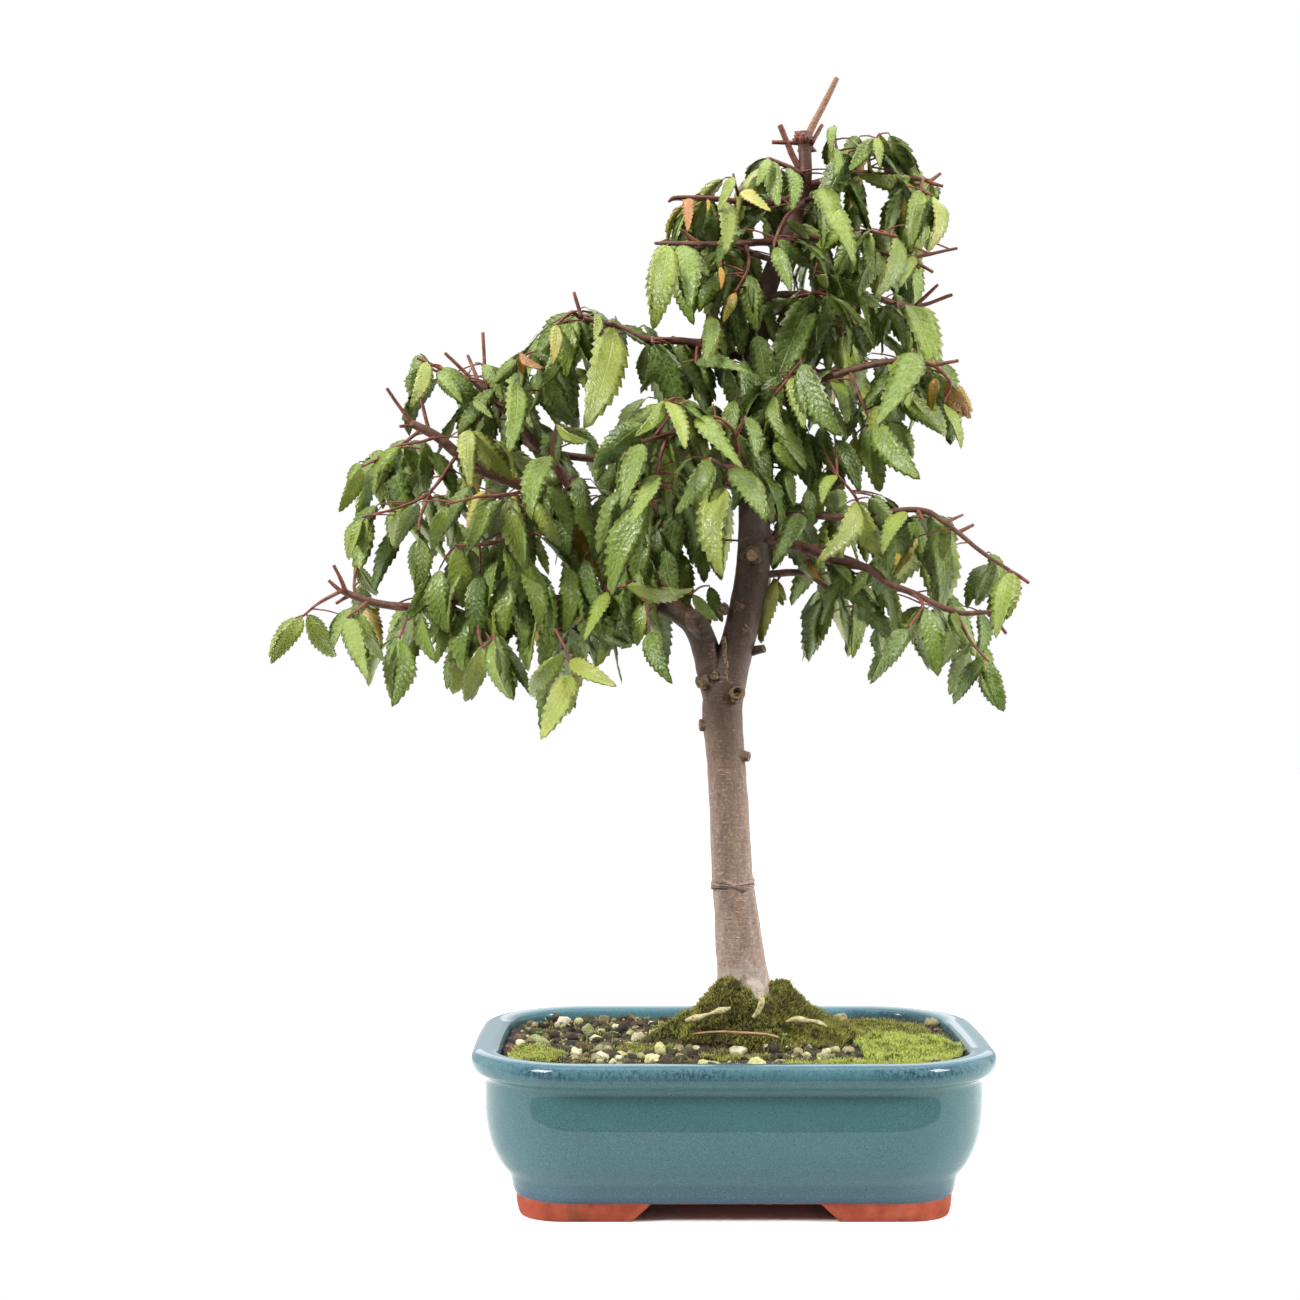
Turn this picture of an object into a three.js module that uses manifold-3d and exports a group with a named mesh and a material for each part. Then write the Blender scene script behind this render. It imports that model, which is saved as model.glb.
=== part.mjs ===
// A japanese zelkova bonsai in its glazed pot, in millimetres, +Z up.
// Places on the tree are given as seen from the front, on the upright plane through the trunk.
import * as THREE from 'three';
import Module from 'manifold-3d';
import { mergeVertices } from 'three/addons/utils/BufferGeometryUtils.js';

const wasm = await Module();
wasm.setup();

// Driving dimensions
const potWidth = 200;
const potDepth = 150;
const potCorner = 41;
const footCorner = { from: 16.5, taper: 2.5, least: 12 };
const footHeight = 7;
const seamGap = 0.35;
const viewDistance = 920;
const viewX = -31.9;
const viewZ = 212.5;

// Pot wall, as inset from the rim's widest line and height, up the outside and down the inside
const potOutside = [
  [19.2, 0], [17.5, 7], [15.7, 9], [16, 12], [11.2, 19], [8, 26], [6, 34], [5.3, 42], [5.5, 49.4],
  [1.3, 52], [0, 54.8], [0.3, 58], [3.4, 61], [8.6, 61], [11.5, 58],
];
const potInside = [[12.4, 42], [15, 26], [20, 16.5], [27, 13.5]];
const cornerSteps = 4;
const recessInset = 27;
const footGap = { top: 31.5, floor: 39, sideTop: 20, sideFloor: 27 };
const drain = { radius: 9, sides: 20, reach: 30, x: 40, plate: 24, thick: 1.2, bars: 3, barWidth: 2 };

// Soil, its mound of moss at the trunk, and the pebbles spread on it but not on the mound
const soilTop = 56.6;
const soilHeart = { x: 7, y: 1 };
const soilInset = 0.45;
const lumps = { high: 0.7, alongX: 0.23, alongY: 0.29 };
const ripples = { high: 0.4, alongX: 0.61, alongY: 0.47 };
const humps = [
  { x: 0, y: 4, wide: 11, deep: 14, high: 16 },
  { x: 23, y: 5, wide: 10, deep: 14, high: 13 },
  { x: 9, y: 3, wide: 25, deep: 22, high: 8 },
];
const soilRings = [0.88, 0.66, 0.48, 0.36, 0.25, 0.14];
const pebbles = {
  count: 14, least: 1.8, most: 3.6, spread: { x: 158, y: 106 }, sunk: 0.15, flat: 0.7,
  mound: { x: 9, y: 3, wide: 34, deep: 30 }, rim: { x: 84, y: 58 },
};

// Trunk, leader and left limb, as points of x, depth, height and radius
const trunkLine = [
  [6, 0, 30, 12], [6, 0, 58, 13], [5.6, 0, 70, 12.6], [5.2, 0, 80, 10.6], [3.5, 0, 94, 9.4],
  [1.2, 0, 117.5, 8.3], [0.9, 0, 120, 8.9], [0.7, 0, 122.5, 8.2], [-0.8, 0, 153, 7.7], [-2.3, 0, 173, 7.5],
  [-3.4, 0, 189, 7.9], [-1.8, 0, 199, 7.6], [0.9, 0, 208.6, 6.9], [3, 0, 216.5, 6.6], [6.8, 0, 232, 6.7],
  [8.7, 0, 244, 6.7], [9.4, 0, 260, 6.3], [9.2, 0, 287.6, 5.8], [8.4, 0, 317, 5.2], [13.2, 0, 351, 4.2],
  [23.4, 0, 378.6, 3.3], [29, 0, 396.4, 2.8], [29.4, 0, 410, 2.6], [29.3, 0, 414, 3.5], [29.3, 0, 417.5, 2.6],
];
const limbLine = [
  [-3.6, 0, 191, 6], [-5.8, 0, 198, 6.3], [-8.2, 0, 206.6, 5.7], [-9.8, 0, 212.5, 5.4],
  [-12.5, 0, 220, 5.2], [-15.5, 0, 223.6, 4.6], [-19.5, 0, 226, 4], [-24, 0, 228.2, 3.2], [-28.4, 0, 229.5, 2.9],
];
const rootLines = [
  [[7, -4, 84, 5], [10, -11, 70, 5], [12, -18, 56, 3.6], [13, -22, 46, 2]],
  [[2, -3, 82, 4.5], [-5, -8, 68, 4.5], [-14, -12, 54, 3.2], [-18, -14, 46, 2]],
  [[9, 3, 82, 4.5], [17, 8, 67, 4.4], [24, 13, 54, 3.2], [27, 15, 46, 2]],
  [[3, 4, 82, 4.5], [-2, 12, 67, 4.2], [-7, 20, 54, 3], [-9, 24, 46, 2]],
];
const bareStubs = [
  [[29.5, 0, 412, 1.7], [31.7, 0, 418.5, 1.5], [36.9, 0, 428.4, 1.3], [42, 0, 438.7, 1.1]],
  [[28, 0, 402, 1.4], [25, -1, 407, 1.3], [19.5, -2, 420, 1.1]],
  [[29, 0, 413, 1], [16.7, -3, 413.4, 0.8]],
  [[31, 0, 411, 1], [36, 4, 420, 0.8]],
  [[8, 0, 212, 2], [12.8, -2.4, 213, 1.6]],
  [[2, -2, 171, 3.4], [6.7, -3.4, 170.5, 2]],
  [[-4, -1, 183, 4], [-11.4, -1.6, 182.8, 2.4]],
  [[8.6, -2, 250, 3.2], [8.4, -8.2, 250, 2.6]],
  [[-10, -1, 216, 4.5], [-13.2, -5.4, 225.6, 3.9]],
  [[-5, 0, 199, 3], [-11.5, -5, 199.8, 2.4]],
  [[1.5, 0, 195, 3], [2.5, -8.6, 195.5, 2.6]],
];

// Leafy boughs: each has its wood line, side twigs, cut stubs and leaves.
// A leaf is root x and z, tip x and z, the turn of its face in degrees and its tone, which only the finish uses.
const boughs = [
  {
    name: 'low_left', thick: [2.8, 1.3],
    line: [[-28, 0, 229.5], [-52, 0, 230.7], [-75, -6, 232.3], [-99, -12, 231], [-110, -14, 232],
      [-127, -18, 229.5], [-143, -22, 231.7], [-154, -25, 236]],
    twigs: [
      [[-154, -25, 236], [-163, -28, 231], [-169, -30, 226]], [[-143, -22, 232], [-147, -27, 229], [-152, -30, 225]],
      [[-148, -24, 233], [-149, -20, 238], [-148, -18, 246]], [[-127, -18, 229], [-129, -22, 223], [-131, -24, 217]],
      [[-99, -12, 231], [-100, -22, 222], [-98, -26, 214], [-93, -28, 218]],
      [[-75, -6, 232], [-70, -16, 222], [-65, -22, 212], [-62, -24, 201]],
      [[-52, 0, 231], [-49, -14, 236], [-41, -18, 238]], [[-58, -2, 231], [-59, -14, 225], [-60, -20, 223]],
      [[-36, 0, 230], [-34, -14, 233], [-32, -22, 220]], [[-34, -14, 233], [-24, -15, 235], [-15, -16, 235]],
    ],
    stubs: [[[-153, -25, 235], [-159, -26, 240]], [[-151, -24, 234], [-156, -22, 231]],
      [[-152, -25, 235], [-157, -28, 246]]],
    leaves: [
      [-170, 225, -182, 207, 30, 0.55], [-168, 227, -156, 210, 20, 0.5], [-152, 225, -143, 200, 25, 0.4],
      [-147, 228, -137, 208, 20, 0.35], [-131, 217, -134, 190, 68, 0.3], [-148, 246, -140, 234, 30, 0.3],
      [-99, 231, -110, 195, 30, 0.6], [-99, 215, -105, 192, 45, 0.65], [-94, 218, -87, 193, 62, 0.3],
      [-66, 212, -79, 194, 30, 0.5], [-63, 203, -75, 177, 15, 0.66], [-62, 209, -45, 198, 20, 0.68],
      [-60, 201, -64, 187, 40, 0.4], [-58, 223, -39, 214, 10, 0.1], [-49, 237, -58, 216, 45, 0.45],
      [-42, 239, -15, 237, 55, 0.6], [-35, 233, -37, 214, 40, 0.4], [-32, 217, -23, 199, 0, 0.15],
      [-15, 235, -5, 224, 35, 0.4], [-122, 230, -113, 219, 30, 0.2], [-110, 231, -121, 216, 40, 0.35],
    ],
  },
  {
    name: 'upper_left', thick: [3.1, 1.7],
    line: [[-19, 0, 226], [-36, 5, 248], [-56, 9, 266], [-79, 6, 276], [-101, 2, 285], [-116, 0, 296.7], [-126, 0, 302]],
    twigs: [
      [[-122, 0, 300], [-134, -8, 291], [-146, -12, 285]], [[-116, 0, 297], [-122, -10, 295], [-128, -14, 294]],
      [[-108, 1, 290], [-119, -12, 275], [-131, -14, 269], [-146, -16, 265]],
      [[-119, -12, 275], [-123, -16, 264], [-123, -18, 257]], [[-101, 2, 285], [-102, -12, 294], [-103, -16, 300]],
      [[-79, 6, 276], [-88, -24, 274], [-100, -30, 273], [-113, -32, 270]],
      [[-72, 7, 273], [-84, -12, 264], [-90, -20, 256], [-99, -22, 254], [-109, -22, 254]],
      [[-58, 8, 267], [-67, -12, 280], [-71, -18, 290], [-69, -20, 302]],
    ],
    stubs: [[[-125, 0, 301], [-136, -3, 316]], [[-119, 0, 298], [-123, 2, 315]], [[-124, 0, 301], [-131, -4, 301]]],
    leaves: [
      [-146, 285, -155, 267, 40, 0.5], [-129, 294, -124, 272, 30, 0.35], [-120, 293, -121, 274, 45, 0.3],
      [-147, 265, -151, 248, 55, 0.45], [-144, 266, -145, 250, 60, 0.5], [-123, 257, -125, 235, 35, 0.2],
      [-104, 300, -103, 276, 30, 0.68], [-100, 301, -86, 280, 35, 0.62], [-95, 273, -104, 252, 30, 0.3],
      [-87, 273, -81, 245, 25, 0.58], [-89, 252, -79, 220, 40, 0.4], [-109, 255, -106, 229, 30, 0.45],
      [-91, 258, -100, 229, 35, 0.3], [-71, 290, -79, 264, 30, 0.3], [-69, 305, -55, 295, 60, 0.55],
      [-136, 290, -139, 271, 35, 0.6], [-128, 270, -134, 254, 45, 0.5], [-112, 270, -118, 252, 30, 0.3],
    ],
  },
  {
    name: 'upper_left_fork', thick: [2.2, 1.3],
    line: [[-56, 9, 266], [-64, 14, 279], [-75, 14, 291.6], [-89, 12, 307], [-101, 12, 318]],
    twigs: [
      [[-101, 12, 318], [-109, 0, 322], [-117, -4, 323], [-120, -6, 327]],
      [[-89, 12, 307], [-88, -4, 313], [-85, -10, 319]], [[-95, 12, 313], [-97, 0, 321], [-98, -2, 326]],
      [[-93, 12, 311], [-99, -6, 311], [-102, -10, 311]],
    ],
    stubs: [[[-100, 12, 317], [-113, 8, 330]], [[-99, 12, 316], [-104, 16, 329]], [[-97, 12, 315], [-98, 14, 338]],
      [[-108, 1, 321], [-124, -2, 328]]],
    leaves: [
      [-120, 328, -127, 308, 20, 0.7], [-116, 322, -106, 310, 25, 0.3], [-98, 327, -90, 311, 20, 0.25],
      [-84, 319, -88, 290, 30, 0.35], [-102, 311, -94, 304, 30, 0.35], [-88, 314, -78, 300, 35, 0.2],
    ],
  },
  {
    name: 'shoulder', thick: [1.9, 0.8],
    line: [[8, 0, 318], [-12, -4, 333], [-33, -8, 335.5], [-45, -10, 340.6], [-60, -12, 344]],
    twigs: [
      [[-60, -12, 344], [-63, -16, 346], [-69, -18, 341]], [[-45, -10, 341], [-47, -18, 342]],
      [[-31, -8, 336], [-31, -18, 334]], [[-52, -11, 342], [-53, -14, 346]],
      [[-58, -12, 343], [-67, -16, 333], [-73, -18, 324], [-84, -20, 330]],
      [[-12, -4, 333], [-10, -12, 339], [-8, -14, 345]], [[-13, -4, 333], [-14, -14, 326]],
    ],
    stubs: [[[-59, -12, 344], [-62, -12, 354]]],
    leaves: [
      [-61, 347, -65, 320, 30, 0.35], [-70, 339, -71, 325, 40, 0.75], [-46, 341, -58, 300, 40, 0.62],
      [-53, 346, -54, 335, 40, 0.6], [-31, 335, -20, 300, 0, 0.08], [-83, 331, -74, 324, 40, 0.97],
      [-85, 329, -82, 321, 40, 0.88], [-73, 323, -60, 300, 10, 0.1], [-8, 345, -10, 326, 35, 0.2],
      [-14, 326, 7, 322, 25, 0.15], [-22, 334, -34, 316, 30, 0.25], [-66, 334, -76, 316, 30, 0.3],
    ],
  },
  {
    name: 'front_left', thick: [1.8, 0.8],
    line: [[9.2, 0, 291], [0, -12, 300], [-14, -22, 302], [-25, -29, 298], [-35, -34, 295]],
    twigs: [[[-25, -29, 298], [-29, -34, 284], [-31, -36, 272]], [[-30, -31, 297], [-24, -36, 306], [-26, -38, 312]]],
    stubs: [],
    leaves: [
      [-36, 295, -43, 268, 30, 0.25], [-32, 271, -47, 234, 20, 0.3], [-26, 311, -38, 297, 25, 0.5],
      [-25, 297, -22, 272, 40, 0.55], [-26, 311, -18, 292, 40, 0.6], [-30, 282, -40, 262, 50, 0.4],
    ],
  },
  {
    name: 'front_low', thick: [1.7, 0.8],
    line: [[9.3, 0, 279], [6, -14, 285], [0, -28, 284], [-8, -38, 288]],
    twigs: [[[3, -20, 285], [2, -26, 297], [-4, -30, 304], [-13, -32, 305]], [[2, -26, 297], [6, -29, 305]],
      [[0, -28, 284], [-3, -33, 278]]],
    stubs: [],
    leaves: [
      [-11, 288, -22, 266, 35, 0.3], [-2, 284, 14, 263, 30, 0.25], [-3, 278, -3, 241, 25, 0.6],
      [-14, 304, 5, 284, 25, 0.3], [6, 305, 10, 288, 30, 0.12], [-6, 288, -14, 262, 45, 0.2],
    ],
  },
  {
    name: 'low_right', thick: [2.3, 0.9],
    line: [[8.6, 0, 255], [27, -6, 253.6], [40, -9, 248], [54, -12, 245], [62, -14, 238.8],
      [72, -15, 235], [89, -17, 227.5], [104, -18, 227.5]],
    twigs: [[[27, -6, 253], [31, -12, 249]], [[72, -15, 235], [76, -24, 230], [70, -30, 221]],
      [[89, -17, 227.5], [95, -22, 216], [102, -24, 208]], [[16, -4, 256], [22, -10, 262], [27, -12, 267]]],
    stubs: [[[103, -18, 227], [109, -18, 219]]],
    leaves: [
      [27, 267, 16, 245, 30, 0], [77, 230, 64, 213, 30, 0.2], [78, 230, 82, 202, 45, 0.3],
      [70, 221, 55, 199, 25, 0.15], [100, 209, 88, 191, 35, 0.1], [103, 207, 108, 188, 35, 0.12],
      [95, 216, 87, 209, 50, 0.3], [88, 228, 92, 216, 40, 0.25], [54, 244, 46, 232, 35, 0.3],
      [40, 248, 48, 238, 40, 0.3],
    ],
  },
  {
    name: 'low_right_fork', thick: [1.6, 0.8],
    line: [[8.6, 0, 242], [28.6, 10, 243], [36, 16, 238.8], [41, 20, 235], [51, 24, 232],
      [57, 27, 226], [64, 30, 223]],
    twigs: [[[20, 6, 242.6], [18.5, -2, 240]], [[28, 10, 243], [31, 2, 248]], [[38, 17, 238], [43, 6, 234]]],
    stubs: [],
    leaves: [
      [41, 235, 30, 209, 30, 0.45], [48, 231, 48, 209, 60, 0.4], [16, 239, 12, 215, 45, 0.75],
      [19, 240, 22, 232, 55, 0.7], [31, 249, 36, 240, 50, 0.9], [58, 226, 66, 214, 35, 0.2],
    ],
  },
  {
    name: 'mid_right', thick: [1.6, 0.7],
    line: [[9.4, 0, 262], [24, -4, 266], [45, -12, 265], [73.6, -18, 268], [85, -21, 262.7], [99.7, -25, 251], [111, -28, 243.7]],
    twigs: [[[50, -13, 265], [50, -22, 272], [42, -26, 282]], [[74, -18, 268], [76, -26, 264]],
      [[85, -21, 263], [92, -18, 266]]],
    stubs: [[[110, -28, 244], [118, -28, 239]], [[90, -22, 259], [96, -20, 262]]],
    leaves: [
      [41, 282, 36, 270, 40, 0.45], [48, 271, 34, 247, 30, 0.62], [52, 272, 61, 249, 30, 0.6],
      [75, 264, 58, 234, 35, 0.2], [78, 264, 82, 228, 30, 0.3], [105, 249, 97, 230, 35, 0.25],
      [112, 244, 105, 217, 40, 0.4], [70, 267, 60, 250, 35, 0.5], [86, 263, 84, 248, 40, 0.4],
    ],
  },
  {
    name: 'upper_right', thick: [2.1, 0.8],
    line: [[8.8, 0, 304], [27, -5, 315], [47, -10, 323], [67, -15, 327], [81, -20, 325]],
    twigs: [[[27, -5, 315], [23, -16, 320], [28, -20, 327]], [[47, -10, 323], [52, -16, 311], [56, -18, 302]],
      [[67, -15, 327], [73, -18, 331]], [[81, -20, 325], [87, -20, 318], [84, -21, 310]],
      [[72, -17, 326], [71, -18, 312]], [[23, -16, 320], [17, -18, 313]]],
    stubs: [[[80, -20, 325], [90, -20, 327]]],
    leaves: [
      [28, 328, 44, 297, 35, 0.15], [23, 321, 29, 300, 35, 0.5], [17, 312, 23, 295, 45, 0.3],
      [72, 331, 57, 301, 30, 0.2], [57, 303, 75, 280, 35, 0.35], [57, 299, 59, 275, 60, 0.3],
      [52, 300, 56, 282, 62, 0.3], [86, 318, 95, 304, 68, 0.93], [84, 309, 91, 292, 68, 0.5],
      [70, 312, 85, 297, 45, 0.5], [40, 320, 46, 302, 35, 0.25], [62, 326, 70, 308, 35, 0.5],
    ],
  },
  {
    name: 'shoulder_right', thick: [1.8, 0.7],
    line: [[13.2, 0, 351], [20, 2, 353], [31, 3, 353], [51, 8, 353], [72, 14, 348.5], [87.5, 15, 353]],
    twigs: [[[31, 3, 353], [33, -20, 354]], [[47, 7, 353], [50, -2, 352], [44, -6, 338]],
      [[66, 12, 350], [66, 0, 348]]],
    stubs: [[[73, 14, 348.5], [82, 12, 357]]],
    leaves: [
      [33, 353, 15, 312, 25, 0.15], [50, 352, 42, 337, 35, 0.4], [44, 338, 46, 307, 66, 0.5],
      [63, 348, 51, 328, 35, 0.25], [69, 347, 82, 320, 40, 0.4], [40, 352, 34, 334, 35, 0.2],
    ],
  },
  {
    name: 'crown_right_low', thick: [1.6, 0.6],
    line: [[22.6, 0, 376.6], [30, -4, 376], [47, -8, 372.6], [69, -14, 368], [89.5, -16, 371.4]],
    twigs: [[[47, -8, 373], [54, -16, 378], [66, -18, 376]], [[37, -5, 375], [33, -16, 361]]],
    stubs: [[[70, -14, 368], [80, -13, 362]]],
    leaves: [
      [54, 378, 57, 361, 35, 0.35], [66, 376, 57, 352, 30, 0.25], [73, 368, 67, 356, 40, 0.5],
      [34, 361, 59, 349, 60, 0.2], [60, 370, 50, 352, 35, 0.3],
    ],
  },
  {
    name: 'crown_right', thick: [1.6, 0.8],
    line: [[28.9, 0, 396], [36, 0, 398], [45.6, 0, 401], [65.3, 1, 400], [79.6, 2, 398]],
    twigs: [[[76, 2, 399], [76, -6, 395], [80, -9, 392]], [[55, 0, 401], [55, -6, 410], [59, -8, 417]],
      [[47, 0, 401], [42, -8, 411], [41, -8, 420]]],
    stubs: [[[79, 2, 398], [83, 3, 401]], [[78, 2, 398], [84, 1, 396]]],
    leaves: [
      [73, 399, 66, 376, 35, 0.78], [79, 398, 75, 371, 45, 0.45], [81, 393, 78, 370, 35, 0.68],
      [75, 394, 71, 371, 35, 0.4], [52, 418, 47, 402, 35, 0.25], [57, 416, 59, 403, 30, 0.5],
      [61, 416, 65, 406, 45, 0.5], [72, 402, 50, 401, 60, 0.35], [37, 411, 41, 400, 40, 0.3],
      [41, 420, 40, 409, 30, 0.3],
    ],
  },
  {
    name: 'crown_top_left', thick: [1.3, 0.7],
    line: [[29.2, 0, 400], [22, -10, 404], [15, -14, 407]],
    twigs: [], stubs: [],
    leaves: [[16, 406, 19, 388, 30, 0.3], [23, 405, 24, 386, 30, 0.25], [15, 408, 10, 396, 35, 0.35]],
  },
  {
    name: 'crown_front', thick: [1.3, 0.7],
    line: [[26.4, 0, 388], [32, -10, 391], [38, -16, 390]],
    twigs: [[[30, -7, 390], [22, -14, 384], [18, -18, 376], [17, -20, 372]]],
    stubs: [],
    leaves: [
      [35, 389, 36, 368, 30, 0.3], [39, 389, 49, 364, 25, 0.4], [38, 393, 44, 386, 30, 0.95],
      [19, 384, 31, 375, 30, 0.3], [21, 374, 33, 363, 35, 0.15], [17, 372, 24, 354, 25, 0.25],
    ],
  },
  {
    name: 'crown_left', thick: [1.4, 0.6],
    line: [[27.4, 0, 392], [11.6, -3, 389], [-5.8, -6, 391], [-21, -8, 391.6], [-24.4, -8, 390]],
    twigs: [[[4, -4, 389], [2, -8, 396], [1, -8, 401]], [[7, -4, 389], [4, -12, 394]]],
    stubs: [[[0, -5, 390], [-6, -6, 384]]],
    leaves: [
      [-17, 391, -17, 378, 35, 0.97], [-9, 392, -9, 386, 50, 0.85], [1, 400, -5, 386, 40, 0.5],
      [4, 394, 16, 386, 25, 0.78], [4, 388, 1, 373, 40, 0.55], [-4, 386, -2, 369, 40, 0.6],
    ],
  },
  {
    name: 'crown_left_low', thick: [1.6, 0.6],
    line: [[22, 0, 374.6], [5.6, -8, 373.4], [-7.8, -14, 373], [-25, -20, 373.4], [-30, -22, 373.4]],
    twigs: [[[6, -8, 373], [7, -16, 364], [2, -18, 354]], [[-2, -11, 373], [-4, -16, 364]]],
    stubs: [[[-12, -15, 373], [-20, -16, 379]]],
    leaves: [
      [-25, 370, -31, 339, 30, 0.45], [-19, 371, -16, 347, 25, 0.3], [-5, 370, -17, 347, 30, 0.3],
      [6, 362, 11, 339, 50, 0.2], [-4, 364, -4, 355, 40, 0.9], [2, 353, -3, 342, 30, 0.8],
    ],
  },
];

// Boughs at the back: each leaves the wood at its own place, then follows another bough's line further back
const backBoughs = [
  { name: 'back_low_left', like: 'low_left', lead: [[-23, 0, 228], [-36, 22, 233]], skip: 2, depth: 66 },
  { name: 'back_upper_left', like: 'upper_left', lead: [[-11, 0, 217], [-24, 22, 238]], skip: 2, depth: 84 },
  { name: 'back_fork_left', like: 'upper_left_fork', lead: [[9.3, 0, 274], [-20, 30, 284]], skip: 2, depth: 62 },
  { name: 'back_shoulder', like: 'shoulder', lead: [[8.6, 0, 326], [-10, 18, 334]], skip: 2, depth: 56 },
  { name: 'back_middle', like: 'front_left', lead: [[9.2, 0, 296], [4, 22, 304]], skip: 2, depth: 66 },
  { name: 'back_low', like: 'front_low', lead: [[9.3, 0, 286], [7, 18, 287]], skip: 2, depth: 52 },
  { name: 'back_low_right', like: 'low_right', lead: [[9, 0, 258], [24, 22, 256]], skip: 3, depth: 74 },
  { name: 'back_mid_right', like: 'mid_right', lead: [[9.4, 0, 268], [24, 16, 270]], skip: 2, depth: 62 },
  { name: 'back_upper_right', like: 'upper_right', lead: [[8.6, 0, 312], [24, 18, 320]], skip: 3, depth: 64 },
  { name: 'back_shoulder_right', like: 'shoulder_right', lead: [[11, 0, 340], [22, 20, 348]], skip: 3, depth: 56 },
  { name: 'back_crown_right', like: 'crown_right_low', lead: [[20, 0, 370], [32, 14, 374]], skip: 2, depth: 46 },
  { name: 'back_crown_top', like: 'crown_right', lead: [[28.2, 0, 393], [38, 12, 398]], skip: 3, depth: 34 },
  { name: 'back_crown_left', like: 'crown_left', lead: [[25.4, 0, 385], [10, 14, 388]], skip: 2, depth: 42 },
  { name: 'back_crown_low', like: 'crown_left_low', lead: [[19, 0, 366], [6, 14, 370]], skip: 2, depth: 48 },
];

// How a back bough differs: the share of its leaves and of its model's depth, and its own thickness
const backLook = {
  leaves: 0.62, near: 0.35, mirrored: 0.6, thick: 0.8, tipX: 2, tipZ: 3, turn: 0.6, turnMore: 20, twigReach: 5,
};

// Leaf blade: half outline with its teeth, as share of length and of half width, and rib points with thickness
const leafEdge = [[0.11, 0.44], [0.29, 1], [0.4, 0.78], [0.57, 0.84], [0.68, 0.5]];
const leafRib = [[0.05, 1], [0.5, 1.2]];
const leafShape = { width: 0.46, arch: 0.07, fold: 0.16, lean: 0.3, outward: 0.12 };
const leanTries = [0, 0.2, -0.2, 0.4, -0.4, 0.6, -0.6];
const mostCrossing = 0.8;

// Wood: sides of each kind, radii of twigs and stubs at both ends, and the step that seats a bough's foot
const woodSides = { trunk: 10, limb: 8, root: 5, stub: 4, thickBough: 5, bough: 4, twig: 3 };
const thickFrom = 2;
const twigThick = [1, 0.8];
const stubThick = [1.1, 0.9];
const seatStep = 0.15;
const gapSlack = 0.05;
const wellPoints = 6;
const wellReach = 0.05;

const finish = {
  glaze: [0x4f8f93, 0.25], screen: [0x2c2c2c, 0.6], soil: [0x4a4030, 0.95], bark: [0x6b5a4b, 0.8],
  frontLeaves: [0x4f7d33, 0.5], backLeaves: [0x3f6a2b, 0.5],
};

// Seeded draw between 0 and 1, the same for the same three numbers
function draw(a, b, c) {
  const wave = Math.sin(a * 127.1 + b * 311.7 + c * 74.7) * 43758.5453;
  return wave - Math.floor(wave);
}

// A place seen from the front, moved along the line of sight to its own depth
function sight([x, y, z]) {
  const scale = (viewDistance + y) / viewDistance;
  return new THREE.Vector3(viewX + (x - viewX) * scale, y, viewZ + (z - viewZ) * scale);
}

// Solid from flat lists of corner coordinates and of triangle corners
function solidOf(positions, faces) {
  const geometry = new THREE.BufferGeometry();
  geometry.setAttribute('position', new THREE.Float32BufferAttribute(positions, 3));
  geometry.setIndex(faces);
  return solidFrom(geometry);
}

// Solid from a three.js geometry, with its corners merged
function solidFrom(source) {
  const bare = source.clone();
  bare.deleteAttribute('normal');
  bare.deleteAttribute('uv');
  const merged = mergeVertices(bare, 1e-5);
  const vertProperties = new Float32Array(merged.getAttribute('position').array);
  const triVerts = new Uint32Array(merged.index.array);
  return new wasm.Manifold(new wasm.Mesh({ numProp: 3, vertProperties, triVerts }));
}

// Geometry of a finished solid
function geometryOf(solid) {
  const mesh = solid.getMesh();
  const geometry = new THREE.BufferGeometry();
  geometry.setAttribute('position', new THREE.BufferAttribute(new Float32Array(mesh.vertProperties), 3));
  geometry.setIndex(new THREE.BufferAttribute(new Uint32Array(mesh.triVerts), 1));
  return geometry;
}

// Union of a list of solids
function joined(solids) {
  return solids.reduce((whole, next) => whole.add(next));
}

// The main body of a solid, without the loose scraps that a cut may leave
function mainBody(solid) {
  return solid.decompose().reduce((most, next) => (next.volume() > most.volume() ? next : most));
}

// Closed skin over a stack of rings with as many points each, with a flat fan at both ends
function skin(rings) {
  const count = rings[0].length;
  const positions = [];
  const faces = [];
  rings.forEach((ring) => ring.forEach((p) => positions.push(p.x, p.y, p.z)));
  for (let r = 0; r + 1 < rings.length; r += 1) {
    for (let i = 0; i < count; i += 1) {
      const a = r * count + i;
      const b = r * count + ((i + 1) % count);
      faces.push(a, b, b + count, a, b + count, a + count);
    }
  }
  const last = (rings.length - 1) * count;
  for (let i = 1; i + 1 < count; i += 1) {
    faces.push(0, i + 1, i, last, last + i, last + i + 1);
  }
  return solidOf(positions, faces);
}

// Round wood along points of x, y, z and radius
function limb(points, sides, grow = 0) {
  const places = points.map((p) => sight(p));
  const rings = [];
  let side = new THREE.Vector3(0, 1, 0);
  places.forEach((place, i) => {
    const before = places[Math.max(i - 1, 0)];
    const after = places[Math.min(i + 1, places.length - 1)];
    const along = after.clone().sub(before).normalize();
    side = side.clone().addScaledVector(along, -side.dot(along)).normalize();
    const other = new THREE.Vector3().crossVectors(along, side);
    const ring = [];
    for (let k = 0; k < sides; k += 1) {
      const angle = (k / sides) * Math.PI * 2;
      const radius = points[i][3] + grow;
      ring.push(place.clone()
        .addScaledVector(side, Math.cos(angle) * radius)
        .addScaledVector(other, Math.sin(angle) * radius));
    }
    rings.push(ring);
  });
  return skin(rings);
}

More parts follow.
